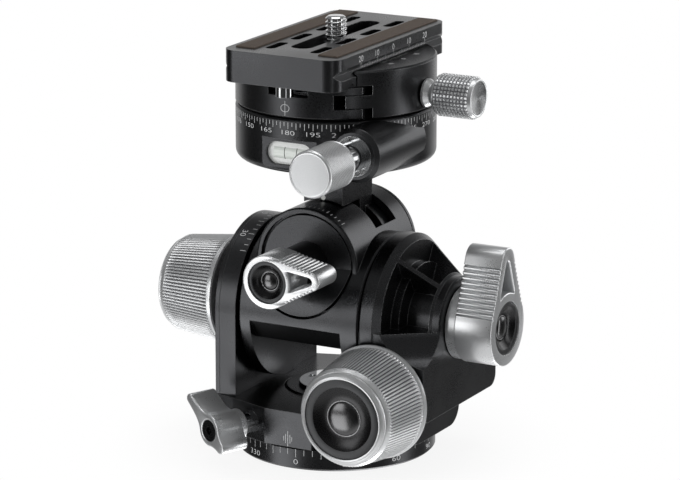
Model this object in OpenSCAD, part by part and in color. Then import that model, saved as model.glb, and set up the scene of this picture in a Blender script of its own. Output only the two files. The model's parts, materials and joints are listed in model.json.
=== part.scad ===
// Geared tripod head, millimetres. Two worm drives tilt the camera plate about
// two crossed axes, over a graduated pan base and under a second pan dial.
// Origin: centre of the underside of the base. +Z up. X is the front tilt axis,
// from the big knob on the left to the lever on the right; +Y points to the back.

/* [Base] */
// Radius of the base dial
base_r = 30; // [28:0.5:34]
// Height of the base dial
base_h = 6.7; // [6.2:0.1:9]
// Radius of the tripod socket
socket_r = 4.76; // [3.17:0.01:6.3]
// Radius of the pan bearing
pan_hub_r = 13; // [11:0.5:14]

/* [Yoke] */
// Height of the yoke's base slab
slab_h = 10.8; // [10.4:0.1:14]
// Distance from the pan axis to the slab's front face
slab_front = 31; // [30.5:0.1:33]
// Thickness of the left upright
upright_t = 5.5; // [4.5:0.1:8]
// Radius of the round top of the left upright
upright_r = 25; // [24.5:0.1:27]
// Thickness of the cover plate on the left upright
cover_t = 1.4; // [1:0.1:2.5]

/* [Gear housing] */
// Thickness of the housing's round flange
flange_t = 4.3; // [3.8:0.1:5]
// Radius of the housing's round flange
flange_r = 24.4; // [24:0.1:25]
// Length of the cone from the flange to the nose
cone_l = 14.2; // [13:0.1:17]
// Radius of the nose round the lever's hub
nose_r = 13.6; // [13.2:0.1:14.5]
// Half the width of the housing's lower block
block_hw = 24; // [23:0.1:24.3]
// Height of the lower block
block_h = 17; // [15:0.1:18]

/* [Cradle] */
// Radius of the cradle's round body
cradle_r = 24; // [23.6:0.1:25]
// Half the width of the cradle
cradle_hw = 20; // [19.6:0.1:22]
// Radius of the cross barrel
barrel_r = 16.9; // [16.6:0.1:17.5]
// Half the length of the cross barrel
barrel_hl = 18.3; // [18:0.1:20]
// Radius of the barrel's bore
bore_r = 14.9; // [14.6:0.1:15.1]

/* [Worm drives] */
// Teeth of the side tilt wheel
roll_teeth = 24; // [24:1:24]
// Module of the side tilt wheel
roll_module = 1; // [0.98:0.01:1.04]
// Pitch radius of the side tilt worm
worm_a_r = 4.5; // [4.4:0.05:4.7]
// Teeth of the front tilt wheel
tilt_teeth = 28; // [28:1:28]
// Pitch radius of the front tilt wheel
tilt_wheel_r = 14.3; // [14:0.05:14.4]
// Pitch radius of the front tilt worm
worm_b_r = 5.5; // [5.2:0.05:5.6]

/* [Knobs] */
// Radius of the two big knobs at the rim next to the body
knob_r = 17.1; // [15.5:0.1:17.5]
// Radius of the knobs at the outer end of the grip
knob_end_r = 14.7; // [13.8:0.1:15.5]
// Length of the knobs' grip
knob_grip_l = 18.8; // [16:0.1:24]
// Radius of the bright ring at the knobs' face
knob_face_r = 12.9; // [12:0.1:13.5]

/* [Levers] */
// Radius of the side lever's round end
lever_d_r = 11.3; // [10.9:0.1:13]
// Reach of the side lever, axis to tip centre
lever_d_reach = 20.7; // [18:0.1:24]
// Thickness of the side lever
lever_d_t = 12; // [10:0.1:15]
// Radius of the front lever's round end
lever_c_r = 8; // [7.7:0.1:9]
// Reach of the front lever, axis to tip centre
lever_c_reach = 14.4; // [13:0.1:16]
// Thickness of the front lever
lever_c_t = 11; // [9:0.1:13]

/* [Stem and top dial] */
// Half the width of the stem
stem_hw = 6.5; // [5.5:0.1:7]
// Height of the stem above the roll axis
stem_rise = 29.6; // [28:0.1:34]
// Radius of the top dial
dial_r = 29.75; // [29:0.05:32]
// Height of the top dial
dial_h = 16.2; // [15.6:0.1:20]
// Distance of the lock knob's axis from the dial's centre
lock_x = 22.5; // [21.5:0.1:23]

/* [Plate clamp] */
// Height of the clamp body below the plate
clamp_h = 9.6; // [9.4:0.1:13]
// Width of the plate across its grooves
plate_w = 38; // [37.6:0.1:38.4]
// Length of the plate
plate_l = 70; // [64:1:90]
// Height of the plate
plate_h = 9.4; // [9:0.1:11]
// Radius of the camera screw's thread
camera_r = 3.175; // [3:0.005:3.2]
// How far the clamp jaw opens
jaw_travel = 3; // [2.5:0.1:3]

/* [Hidden] */
$fn = 96;

// Shared fits and small sizes
run_fit = 0.05;
seat_fit = 0.02;
body_gap = 0.3;
over = 1;
edge = 0.5;

// Base
dial_gap = 0.3;
base_edge = 0.6;
hub_rise = 7.9;
lid_lap = 2.3;
lid_t = 3.7;
lid_edge = 0.5;
nut_r = 11.3;
nut_t = 1.1;
stud_r = 5.5;
washer_in = 1;
washer_w = 6;
washer_t = 1.2;
washer_play = 0.1;
socket_wall = 2.3;
socket_l = 9;
socket_flange_r = 9.5;
socket_flange_t = 1.6;
groove_r = 25.5;
groove_w = 1.2;
groove_d = 0.5;

slab_z0 = base_h + dial_gap;
slab_z1 = slab_z0 + slab_h;
hub_top = base_h + hub_rise;
bore_floor = hub_top - washer_play;

// Axes
cradle_lift = 1.4;
tilt_z = slab_z1 + cradle_lift + cradle_r;
roll_wheel_r = roll_teeth * roll_module / 2;
roll_rise = roll_wheel_r + worm_a_r;
roll_z = tilt_z + roll_rise;
worm_b_z = tilt_z - tilt_wheel_r - worm_b_r;

// Places along X
side_gap = 0.5;
upright_x1 = -cradle_hw - side_gap;
upright_x0 = upright_x1 - upright_t;
cover_x0 = upright_x0 - cover_t;
collar_gap = 0.4;
collar_l = 5.5;
collar_r = 14;
collar_x1 = cover_x0 - collar_gap;
collar_x0 = collar_x1 - collar_l;
knob_a_x = collar_x0 - collar_gap;
housing_x0 = cradle_hw + side_gap;
flange_x1 = housing_x0 + flange_t;
cone_x1 = flange_x1 + cone_l;
nose_l = 2.7;
housing_x1 = cone_x1 + nose_l;

// Yoke slab outline
slab_chamfer_x = 7.3;
slab_step_x = 8.5;
slab_left_front = 26.7;
slab_step_y = 24.6;
slab_block_y = 16;
slab_block_x = 33.5;
slab_corner_r = 6;
slab_slant_h = 10.2;
slab_slant_w = 4.1;
wing_turn = 23.6;
wing_z = slab_z0 + slab_h / 2;

// Left upright and bush
bush_wall = 2.5;
trunnion_l_r = 10;
trunnion_r_r = 7;
cover_screw_r = 1.4;
cover_screw_ring_r = 20.5;
cover_window_r = 15;
screw_depth = 3;

// Gear housing
pocket_floor_t = 2.2;
pocket_hub_r = 11;
pocket_lip_t = 0.8;
rib_w = 2.8;
rib_angle = 61;
pocket_end_angle = 119;
boss_wall = 0.9;
wheel_w = 3.2;
wheel_play = 0.35;
tooth_head = 0.9;
tooth_gap = 0.3;
tooth_root_share = 0.19;
tooth_tip_share = 0.06;
wheel_x = 6.3;
cavity_r = tilt_wheel_r + tooth_head + tooth_gap;
boss_r = cavity_r + boss_wall;
boss_t = 0.9;
flare_r = 12;
block_corner_r = 3.5;
flare_edge_share = 0.336;
flare_set = 0.6;
pocket_drop = 0.8;
housing_wheel_x = housing_x0 + wheel_x;
cavity_x1 = housing_wheel_x + wheel_w / 2 + wheel_play;
trunnion_step = housing_wheel_x - wheel_w / 2 - cradle_hw;
pocket_z0 = flange_t + pocket_floor_t;
boss_z1 = cavity_x1 - housing_x0 + boss_t;
pocket_z1 = flange_t + cone_l - pocket_lip_t;
cone_slope = atan((flange_r - nose_r) / cone_l);
flare_axis_z = slab_z1 + block_h + flare_r * sqrt(1 - flare_edge_share * flare_edge_share);

// Knob B place
knob_b_gap = 1.3;
knob_b_y = -block_hw - knob_b_gap;
bushing_r = 5;
bushing_l = 10;
shaft_r = 3;

// Cradle
window_x0 = 16.2;
window_x1 = 14.1;
window_top = 1.4;
window_foot_y = 19.6;
window_foot_z = 7.5;
window_in_y = 14;
window_in_z = 3.2;
tube_r = 8.5;
tunnel_gap = 0.7;
worm_hl = 8.5;
worm_play = 0.9;
worm_sides = 16;
worm_slices = 10;
journal_l = 3;
play_end = 0.3;
worm_a_phase = 282;
worm_b_phase = 37;
spigot_r = 7;
spigot_l = 6;
front_edge_r = 0.5;
front_edge_l = 1;
slot_y0 = 1.8;
slot_y1 = 11;
roll_range = 30;
slot_spare = 2;

// Rotor
drum_gap = 0.3;
drum_r = bore_r - drum_gap;
disc_y = 17.6;
drum_back = 17;
groove_play = 0.9;
groove_hl = worm_a_r + tooth_head + groove_play;
wheel_a_w = 3.2;
wheel_a_core_r = 10.2;
web_y0 = 3;
web_y1 = 10.6;
stem_y0 = 8;
arch_gap = 0.4;
rear_disc_t = 2;
rear_disc_in = 0.4;
rear_spigot_r = 8;
rear_spigot_l = 1.6;

// Levers
hub_c_r = 6.7;
hub_c_l = 13.1;
lever_c_turn = 10;
lever_c_tip_r = 2.9;
lever_c_window = 6.8;
lever_d_tip_r = 4.4;
lever_d_hub_r = 10.85;
lever_d_hub_l = 3;
lever_d_window = 10.2;
lever_wall = 2.2;
lever_c_wall = 1.6;
lever_set = 1.7;
lever_rim = 1.65;
dish_depth = 3;
lever_screw_r = 3.5;
lever_screw_l = 9;
ridge_count = 10;
ridge_cut_share = 0.36;
ridge_span_share = 0.62;
ridge_start_share = 0.24;

// Knobs
knob_rim_l = 1.2;
knob_chamfer = 0.4;
knob_nose_l = 2.2;
knob_dish_r = 12;
knob_dish_depth = 2.6;
knob_bore_l = 12;
cap_ring_share = 0.44;
dish_flat_share = 0.8;

// Top dial and level
dial_edge_r = 2.5;
dial_top_edge = 0.5;
level_hw = 9;
level_y = 28.35;
level_z0 = 1.1;
level_h = 9;
vial_hl = 7.7;
vial_r = 3.5;
backing_t = 0.6;
vial_wall = 0.7;
vial_gap = 0.6;
bubble_r = 1.2;
bubble_l = 3.2;
bubble_x = -1;
edge_steps = 6;
vial_out_r = vial_r - vial_wall;
vial_half = vial_hl - 3 * vial_wall;
vial_depth = vial_gap + 2 * vial_out_r + seat_fit + backing_t;
vial_y = -level_y + vial_gap + vial_out_r;
lock_z = 8.1;
lock_boss_r = 8;
lock_boss_y = 31;
lock_boss_edge = 1.2;
lock_ring_r = 5.9;
lock_ring_t = 1.6;
lock_ring_proud = 0.3;
lock_shaft_r = 4.3;
lock_shaft_in = 18;
lock_neck_l = 11;
lock_knob_r = 6.9;
lock_knob_l = 15;
lock_knob_edge = 0.6;
turn_gap = 0.4;
boss_top = 6.4;
dial_boss_r = 8;
clamp_lid_lap = 2.5;
clamp_lid_t = 2.6;
clamp_lid_edge = 0.4;
stem_screw_r = 1.75;
stem_head_r = 2.9;
stem_head_h = 3;
stem_screw_y = 4;
stem_screw_l = 9;
stem_floor = 4.7;
lid_screw_r = 1;
lid_head_r = 1.9;
lid_head_h = 1.2;
lid_screw_x = 5.5;
lid_screw_l = 4;

// Clamp
split_x = 20.45;
split_gap = 2.05;
tongue_l = 6;
tongue_h = 3.8;
tongue_z = 3.4;
tongue_play = 0.2;
lip_h = 4.3;
lip_in = 0.2;
lip_rise = 3.1;
lip_edge = 1.2;
groove_rise = 2.9;
groove_deep = 1.6;
plate_gap = 0.4;
clamp_edge = 0.5;
notch_hw = 6.5;
notch_y = 26;
notch_d = 3.2;
clamp_axis_z = 5;
clamp_screw_in = 8.5;
clamp_thread_r = 2.5;
pin_r = 1.5;
pin_y = 15;
pin_l = 8;
pin_seat = 1.5;
neck_r = 4.2;
neck_waist_r = 3.3;
neck_l = 4.2;
grip_r = 6.3;
grip_l = 12;
grip_face_r = 5.45;
grip_nose_l = 0.8;

// Plate
plate_corner_r = 4.5;
strip_w = 6.3;
strip_in = 10.4;
strip_back = 33;
strip_front = 30;
strip_depth = 1;
strip_proud = 0.5;
slot_hw = 3.4;
slot_hl = 23.5;
head_slot_hw = 7.3;
head_slot_d = 3;
side_slot_x = 7.4;
side_slot_hw = 1.6;
side_slot_hl = 5;
side_slot_y1 = 7.6;
side_slot_y2 = 22.4;
peg_y = 31;
peg_r = 2.6;
peg_l = 3.3;
peg_thread_r = 1.5;
peg_thread_l = 5;
screw_head_r = 7;
screw_head_h = 2.3;
screw_head_up = 0.4;
camera_rise = 5.7;
camera_shank_r = 2.6;
camera_slot_w = 1.4;
camera_slot_d = 1;

// Wing knob
wing_gap = 0.35;
wing_out = 30.9;
wing_free = 5.4;
wing_r = 3.2;
wing_pin_r = 1.8;
wing_in = pan_hub_r + lid_lap + body_gap;
wing_hub_r = 4.8;
wing_hub_l = 11.2;
wing_depth = 9.2;
wing_root_r = 3.8;
wing_neck_r = 2.7;
wing_neck_d = 7;
wing_tip_r = 1.8;
wing_tip_d = 12.2;
wing_short_d = 6.4;
wing_lean = 142;
wing_cap_r = 3.1;
wing_cap_t = 2.2;
wing_hex_r = 1.4;
hex_sides = 6;

// Heights of the upper stack
dial_z0 = roll_z + stem_rise;
dial_z1 = dial_z0 + dial_h;
clamp_z0 = dial_z1 + turn_gap;
clamp_z1 = clamp_z0 + clamp_h;
plate_z0 = clamp_z1 + plate_gap;
plate_z1 = plate_z0 + plate_h;
vial_z = dial_z0 + level_z0 + level_h / 2;
jaw_x0 = split_x + split_gap;
tongue_z0 = clamp_z0 + tongue_z;
clamp_axis = clamp_z0 + clamp_axis_z;
lip_x = plate_w / 2 + lip_in;
lip_z1 = clamp_z1 + plate_gap + lip_h;
lid_space_r = dial_boss_r + clamp_lid_lap + body_gap;

// Helpers

// child's z runs along +X from x0, on the front tilt axis
module on_x(x0) {
  translate([x0, 0, tilt_z]) rotate([0, 90, 0]) children();
}

// child's z runs along +Y from y0, on the side tilt axis
module on_y(y0) {
  translate([0, y0, roll_z]) rotate([-90, 0, 0]) children();
}

// flat outline in (y, z), swept along X from x0 by len
module sweep_x(x0, len) {
  translate([x0, 0, 0]) rotate([90, 0, 90]) linear_extrude(len) children();
}

// flat outline in (x, z), swept along Y from y0 by len
module sweep_y(y0, len) {
  translate([0, y0 + len, 0]) rotate([90, 0, 0]) linear_extrude(len) children();
}

module tube(r_out, r_in, h) {
  difference() {
    cylinder(r = r_out, h = h);
    translate([0, 0, -over]) cylinder(r = r_in, h = h + 2 * over);
  }
}

// round bar with a small chamfer at both ends
module bar(r, h, c) {
  rotate_extrude() polygon([[0, 0], [r - c, 0], [r, c], [r, h - c], [r - c, h], [0, h]]);
}

// outline of two circles and their common tangents, second one along +x
module link_outline(r1, r2, d) {
  a = acos((r1 - r2) / d);
  circle(r = r1);
  translate([d, 0]) circle(r = r2);
  polygon([[r1 * cos(a), r1 * sin(a)], [r1 * cos(a), -r1 * sin(a)],
           [d + r2 * cos(a), -r2 * sin(a)], [d + r2 * cos(a), r2 * sin(a)]]);
}

module stadium(hl, r) {
  square([2 * (hl - r), 2 * r], center = true);
  for (s = [-1, 1]) translate([s * (hl - r), 0]) circle(r = r);
}

// rectangle with round corners, centred
module round_rect(w, l, r) {
  square([w - 2 * r, l], center = true);
  square([w, l - 2 * r], center = true);
  for (sx = [-1, 1], sy = [-1, 1]) translate([sx * (w / 2 - r), sy * (l / 2 - r)]) circle(r = r);
}

// wedge of radius r between angles a0 and a1
module fan(r, a0, a1) {
  steps = 8;
  polygon(concat([[0, 0]],
    [for (i = [0 : steps]) let (a = a0 + (a1 - a0) * i / steps) [r * cos(a), r * sin(a)]]));
}

// spur outline of a worm wheel
module wheel_outline(teeth, pitch_r, head, foot) {
  step = 360 / teeth;
  root_w = tooth_root_share;
  tip_w = tooth_tip_share;
  polygon([for (i = [0 : teeth - 1]) each [
    [(pitch_r - foot) * cos(step * (i - root_w)), (pitch_r - foot) * sin(step * (i - root_w))],
    [(pitch_r + head) * cos(step * (i - tip_w)), (pitch_r + head) * sin(step * (i - tip_w))],
    [(pitch_r + head) * cos(step * (i + tip_w)), (pitch_r + head) * sin(step * (i + tip_w))],
    [(pitch_r - foot) * cos(step * (i + root_w)), (pitch_r - foot) * sin(step * (i + root_w))]
  ]]);
}

// one-start worm, centred on z = 0, lead equals the wheel's tooth pitch
module worm_thread(pitch_r, head, lead, hl) {
  turns = 2 * hl / lead;
  translate([0, 0, -hl])
    linear_extrude(2 * hl, twist = -360 * turns, slices = round(worm_slices * turns), $fn = worm_sides)
      translate([head, 0]) circle(r = pitch_r);
}

// Base

module base_dial() {
  color("dimgray") difference() {
    union() {
      rotate_extrude() polygon([
        [0, 0], [base_r - base_edge, 0], [base_r, base_edge],
        [base_r, base_h - base_edge], [base_r - base_edge, base_h], [0, base_h]]);
      cylinder(r = pan_hub_r - run_fit, h = hub_top);
      cylinder(r = stud_r, h = hub_top + lid_t + nut_t);
    }
    translate([0, 0, -over]) cylinder(r = socket_r + socket_wall, h = socket_l + over);
    translate([0, 0, -over]) cylinder(r = socket_flange_r, h = socket_flange_t + over);
    translate([0, 0, -over]) tube(groove_r + groove_w, groove_r, groove_d + over);
  }
}

module tripod_socket() {
  color("silver") difference() {
    union() {
      cylinder(r = socket_r + socket_wall - seat_fit, h = socket_l - seat_fit);
      cylinder(r = socket_flange_r - seat_fit, h = socket_flange_t - seat_fit);
    }
    translate([0, 0, -over]) cylinder(r = socket_r, h = socket_l + 2 * over);
  }
}

module pan_washer() {
  color("goldenrod") translate([0, 0, base_h])
    tube(pan_hub_r + washer_in + washer_w, pan_hub_r + washer_in, washer_t);
}

module retainer_lid() {
  color("dimgray") translate([0, 0, hub_top]) difference() {
    bar(pan_hub_r + lid_lap, lid_t, lid_edge);
    translate([0, 0, -over]) cylinder(r = stud_r + seat_fit, h = lid_t + 2 * over);
  }
}

module centre_nut() {
  color("lightgray") translate([0, 0, hub_top + lid_t]) difference() {
    bar(nut_r, nut_t, nut_t / 4);
    translate([0, 0, -over]) cylinder(r = stud_r + seat_fit, h = nut_t + 2 * over);
    for (s = [-1, 1]) translate([s * (stud_r + nut_r) / 2, 0, nut_t / 2]) cylinder(r = nut_t, h = nut_t);
  }
}

// Yoke

module slab_plan() {
  polygon([
    [cover_x0, -upright_r], [upright_x1, -slab_left_front],
    [-slab_chamfer_x, -slab_front], [slab_step_x, -slab_front],
    [slab_step_x, -slab_step_y], [flange_x1, -slab_step_y],
    [slab_block_x, -slab_block_y], [slab_block_x, slab_block_y],
    [flange_x1, slab_step_y], [slab_step_x, slab_front], [-slab_chamfer_x, slab_front],
    [upright_x1, slab_left_front], [cover_x0, upright_r]]);
}

module slab_front_view() {
  polygon([
    [cover_x0 + slab_slant_w, slab_z0], [slab_block_x + over, slab_z0],
    [slab_block_x + over, slab_z1], [cover_x0, slab_z1], [cover_x0, slab_z0 + slab_slant_h]]);
}

module slab_side_cut() {
  difference() {
    translate([-base_r, slab_z0 - over]) square([2 * base_r, slab_corner_r + over]);
    translate([0, slab_z0 + slab_h])
      square([2 * slab_block_y, 2 * (slab_h - slab_corner_r)], center = true);
    for (s = [-1, 1]) translate([s * (slab_block_y - slab_corner_r), slab_z0 + slab_corner_r])
      circle(r = slab_corner_r);
    translate([-slab_block_y + slab_corner_r, slab_z0])
      square([2 * (slab_block_y - slab_corner_r), slab_corner_r + over]);
  }
}

module yoke_base() {
  color("dimgray") difference() {
    intersection() {
      translate([0, 0, slab_z0]) linear_extrude(slab_h) slab_plan();
      sweep_y(-slab_front - over, 2 * (slab_front + over)) slab_front_view();
    }
    sweep_x(flange_x1, slab_block_x) slab_side_cut();
    translate([0, 0, slab_z0 - over]) cylinder(r = pan_hub_r, h = slab_h + 2 * over);
    translate([0, 0, bore_floor])
      cylinder(r = pan_hub_r + lid_lap + body_gap, h = slab_h);
    translate([0, 0, slab_z0 - over]) cylinder(
      r = pan_hub_r + washer_in + washer_w + body_gap,
      h = over + washer_t - dial_gap + washer_play);
    wing_frame(pan_hub_r - over) cylinder(r = wing_pin_r + run_fit, h = slab_front);
    wing_frame(wing_in) cylinder(r = wing_r + run_fit, h = slab_front);
    translate([housing_wheel_x, 0, worm_b_z]) rotate([90, 0, 0])
      cylinder(r = worm_b_r + tooth_head + tooth_gap, h = 2 * (worm_hl + worm_play), center = true);
  }
}

module upright_outline() {
  translate([0, tilt_z]) circle(r = upright_r);
  translate([-upright_r, slab_z1]) square([2 * upright_r, tilt_z - slab_z1]);
}

module left_upright() {
  color("dimgray") difference() {
    sweep_x(upright_x0, upright_t) upright_outline();
    on_x(upright_x0 - over) cylinder(r = trunnion_l_r + bush_wall, h = upright_t + 2 * over);
    cover_holes(upright_x0 - over, cover_screw_r + seat_fit, screw_depth + over);
  }
}

module cover_holes(x0, r, h) {
  for (s = [-1, 1]) {
    translate([x0, s * cover_screw_ring_r, tilt_z]) rotate([0, 90, 0]) cylinder(r = r, h = h);
    translate([x0, s * cover_screw_ring_r, slab_z1 + screw_depth]) rotate([0, 90, 0])
      cylinder(r = r, h = h);
  }
}

module left_cover() {
  color("black") difference() {
    sweep_x(cover_x0, cover_t) difference() {
      upright_outline();
      translate([0, tilt_z]) circle(r = cover_window_r);
    }
    cover_holes(cover_x0 - over, cover_screw_r + seat_fit, cover_t + 2 * over);
  }
}

module cover_screws() {
  color("dimgray") cover_holes(cover_x0, cover_screw_r, cover_t + screw_depth);
}

module left_bush() {
  color("goldenrod") on_x(upright_x0)
    tube(trunnion_l_r + bush_wall - seat_fit, trunnion_l_r, upright_t);
}

// side outline of the housing's lower block, round at the lower corners
module block_outline() {
  r = block_corner_r;
  translate([-block_hw, slab_z1 + r]) square([2 * block_hw, tilt_z - slab_z1 - r]);
  translate([-block_hw + r, slab_z1]) square([2 * (block_hw - r), r + over]);
  for (s = [-1, 1]) translate([s * (block_hw - r), slab_z1 + r]) circle(r = r);
}

// round cutter that hollows the flank between the cone and the lower block;
// it runs along the cone's own side line
module flare_cut(s) {
  half = sqrt(flare_r * flare_r - pow(flare_axis_z - tilt_z, 2));
  translate([housing_x1 - flare_set, s * nose_r, flare_axis_z])
    rotate([0, 0, -s * cone_slope])
      translate([0, s * half, 0]) rotate([0, 90, 0])
        cylinder(r = flare_r, h = 4 * cone_l, center = true);
}

// cut profile of the pockets, (radius, height above the housing's inner face)
module pocket_profile() {
  polygon([
    [pocket_hub_r, pocket_z1], [pocket_hub_r, boss_z1], [boss_r, boss_z1], [boss_r, pocket_z0],
    [flange_r + over, pocket_z0], [flange_r + over, pocket_z1]]);
}

module pocket_fan(s) {
  h = flange_t + cone_l;
  intersection() {
    on_x(housing_x0) rotate_extrude() pocket_profile();
    sweep_x(housing_x0, 2 * h) translate([0, tilt_z]) difference() {
      intersection() {
        fan(3 * flange_r, s > 0 ? 0 : 180 - pocket_end_angle, s > 0 ? pocket_end_angle : 180);
        translate([-2 * flange_r, -pocket_drop]) square([4 * flange_r, 4 * flange_r]);
      }
      rotate(s > 0 ? rib_angle : 180 - rib_angle) translate([0, -rib_w / 2])
        square([2 * flange_r, rib_w]);
    }
  }
}

module gear_housing() {
  color("dimgray") difference() {
    union() {
      on_x(housing_x0) rotate_extrude() polygon([
        [0, 0], [flange_r - edge, 0], [flange_r, edge], [flange_r, flange_t],
        [nose_r, flange_t + cone_l], [nose_r, flange_t + cone_l + nose_l - edge],
        [nose_r - edge, flange_t + cone_l + nose_l], [0, flange_t + cone_l + nose_l]]);
      difference() {
        sweep_x(housing_x0, housing_x1 - housing_x0) block_outline();
        for (s = [-1, 1]) flare_cut(s);
      }
    }
    pocket_fan(1);
    pocket_fan(-1);
    on_x(housing_x0 - over) cylinder(r = cavity_r, h = cavity_x1 - housing_x0 + over);
    on_x(housing_x0) cylinder(r = trunnion_r_r + bush_wall, h = housing_x1 - housing_x0 + over);
    translate([housing_wheel_x, 0, worm_b_z]) rotate([90, 0, 0])
      cylinder(r = worm_b_r + tooth_head + tooth_gap, h = 2 * (worm_hl + worm_play), center = true);
    translate([housing_wheel_x, worm_hl + worm_play + bushing_l, worm_b_z]) rotate([90, 0, 0])
      cylinder(r = bushing_r, h = block_hw + worm_hl + worm_play + bushing_l + over);
  }
}

module right_bush() {
  color("goldenrod") on_x(cavity_x1)
    tube(trunnion_r_r + bush_wall - seat_fit, trunnion_r_r + run_fit, housing_x1 - cavity_x1);
}

module worm_bushings() {
  color("goldenrod") translate([housing_wheel_x, 0, worm_b_z]) rotate([90, 0, 0]) {
    translate([0, 0, worm_hl + worm_play])
      tube(bushing_r - seat_fit, shaft_r + run_fit, block_hw - worm_hl - worm_play);
    translate([0, 0, -worm_hl - worm_play - bushing_l])
      tube(bushing_r - seat_fit, shaft_r + run_fit, bushing_l);
  }
}

// Cradle

module window_outline() {
  translate([0, tilt_z]) difference() {
    polygon([
      [-cradle_r - over, -window_top], [-cradle_r, -window_top],
      [-window_foot_y, -window_foot_z], [-window_in_y, -window_in_z],
      [window_in_y, -window_in_z], [window_foot_y, -window_foot_z],
      [cradle_r, -window_top], [cradle_r + over, -window_top],
      [cradle_r + over, -cradle_r - over], [-cradle_r - over, -cradle_r - over]]);
    circle(r = tube_r);
  }
}

module web_slot() {
  a = roll_range + asin(stem_hw / bore_r) + slot_spare;
  sweep_y(-slot_y0, slot_y0 + slot_y1) translate([0, roll_z])
    fan(2 * barrel_r, 90 - a, 90 + a);
}

module cradle() {
  color("dimgray") difference() {
    union() {
      on_x(-cradle_hw) bar(cradle_r, 2 * cradle_hw, edge);
      on_y(-barrel_hl) bar(barrel_r, 2 * barrel_hl, edge);
    }
    on_y(-cradle_r - over) cylinder(r = bore_r, h = cradle_r + barrel_hl + 2 * over);
    on_y(barrel_hl) cylinder(r = barrel_r - rear_disc_in + body_gap, h = cradle_r - barrel_hl + over);
    on_y(-cradle_r - over)
      cylinder(r = bore_r + front_edge_r, h = cradle_r + over - disc_y + front_edge_l);
    sweep_x(-window_x0, window_x0 + window_x1) window_outline();
    web_slot();
    on_x(-cradle_hw - over) cylinder(r = spigot_r, h = over + spigot_l);
    on_x(-cradle_hw) cylinder(r = worm_a_r + tooth_head + tunnel_gap, h = cradle_hw + worm_hl + worm_play);
    on_x(0) cylinder(r = shaft_r + run_fit, h = worm_hl + worm_play + journal_l);
    on_x(cradle_hw - spigot_l) cylinder(r = spigot_r, h = spigot_l + over);
  }
}

module left_trunnion() {
  color("silver") difference() {
    union() {
      on_x(collar_x1 - collar_l / 2)
        cylinder(r = trunnion_l_r - run_fit, h = -cradle_hw - collar_x1 + collar_l / 2);
      on_x(-cradle_hw) cylinder(r = spigot_r - seat_fit, h = spigot_l);
    }
    on_x(collar_x0 - over) cylinder(r = shaft_r + run_fit, h = cradle_hw);
    on_x(-cradle_hw - over) cylinder(r = shaft_r + run_fit, h = spigot_l + 2 * over);
  }
}

module worm_cap() {
  color("dimgray") difference() {
    on_x(collar_x0) bar(collar_r, collar_l, edge);
    on_x(collar_x1 - collar_l / 2) cylinder(r = trunnion_l_r - run_fit + seat_fit, h = collar_l);
    on_x(collar_x0 - over) cylinder(r = shaft_r + run_fit, h = collar_l);
  }
}

module right_trunnion() {
  color("silver") {
    on_x(cradle_hw - spigot_l + seat_fit) cylinder(r = spigot_r - seat_fit, h = spigot_l);
    on_x(cradle_hw) cylinder(r = trunnion_r_r + bush_wall, h = trunnion_step);
    on_x(cradle_hw) cylinder(r = trunnion_r_r, h = housing_x1 - cradle_hw);
    on_x(housing_x1) cylinder(r = lever_screw_r, h = body_gap + lever_d_hub_l - run_fit);
  }
}

module tilt_wheel() {
  color("goldenrod") on_x(housing_wheel_x - wheel_w / 2) linear_extrude(wheel_w) difference() {
    wheel_outline(tilt_teeth, tilt_wheel_r, tooth_head, tooth_head + tooth_gap);
    circle(r = trunnion_r_r + seat_fit);
  }
}

// Worms

module worm_shaft(pitch_r, module_, out_l) {
  lead = PI * module_;
  worm_thread(pitch_r, tooth_head, lead, worm_hl);
  translate([0, 0, -worm_hl - worm_play - journal_l + play_end])
    cylinder(r = shaft_r, h = worm_hl + worm_play + journal_l);
  cylinder(r = shaft_r, h = out_l);
}

module worm_a() {
  color("silver") translate([0, 0, tilt_z]) rotate([0, -90, 0]) rotate(worm_a_phase)
    worm_shaft(worm_a_r, roll_module, -knob_a_x + knob_bore_l);
}

module worm_b() {
  color("silver") translate([housing_wheel_x, 0, worm_b_z]) rotate([90, 0, 0]) rotate(worm_b_phase)
    worm_shaft(worm_b_r, 2 * tilt_wheel_r / tilt_teeth, -knob_b_y + knob_bore_l);
}

// Knobs

// dished black insert, its mouth at z = 0 and going down
module dish(r, depth, ring_r) {
  flat_r = r * dish_flat_share;
  translate([0, 0, -depth]) rotate_extrude() polygon([
    [0, 0], [r, 0], [r, depth - depth / 6], [flat_r, depth - depth / 6],
    [ring_r + depth / 3, depth / 3], [0, depth / 3]]);
}

// thin ring and dome in the middle of a dish
module dome(r, depth) {
  h = depth / 2;
  translate([0, 0, -depth + depth / 3]) {
    cylinder(r = r, h = h / 2);
    intersection() {
      translate([0, 0, h / 2 - (r * r - h * h) / (2 * h)]) sphere(r = (r * r + h * h) / (2 * h));
      cylinder(r = r - r / 8, h = 2 * h);
    }
  }
}

module knob_body() {
  face = knob_grip_l + knob_nose_l;
  difference() {
    rotate_extrude() polygon([
      [0, 0], [knob_r - knob_chamfer, 0], [knob_r, knob_chamfer], [knob_r, knob_rim_l],
      [knob_r - knob_chamfer, knob_rim_l + knob_chamfer],
      [knob_end_r, knob_grip_l], [knob_face_r, face], [knob_dish_r, face],
      [knob_dish_r, face - knob_dish_depth], [0, face - knob_dish_depth]]);
    translate([0, 0, -over]) cylinder(r = shaft_r + seat_fit, h = knob_bore_l + over + seat_fit);
  }
}

module at_knob_a() {
  translate([knob_a_x, 0, tilt_z]) rotate([0, -90, 0]) children();
}

module at_knob_b() {
  translate([housing_wheel_x, knob_b_y, worm_b_z]) rotate([90, 0, 0]) children();
}

module knob_a() { color("silver") at_knob_a() knob_body(); }
module knob_b() { color("silver") at_knob_b() knob_body(); }

module knob_dish() {
  translate([0, 0, knob_grip_l + knob_nose_l])
    dish(knob_dish_r - seat_fit, knob_dish_depth, knob_dish_r * cap_ring_share);
}

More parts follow.
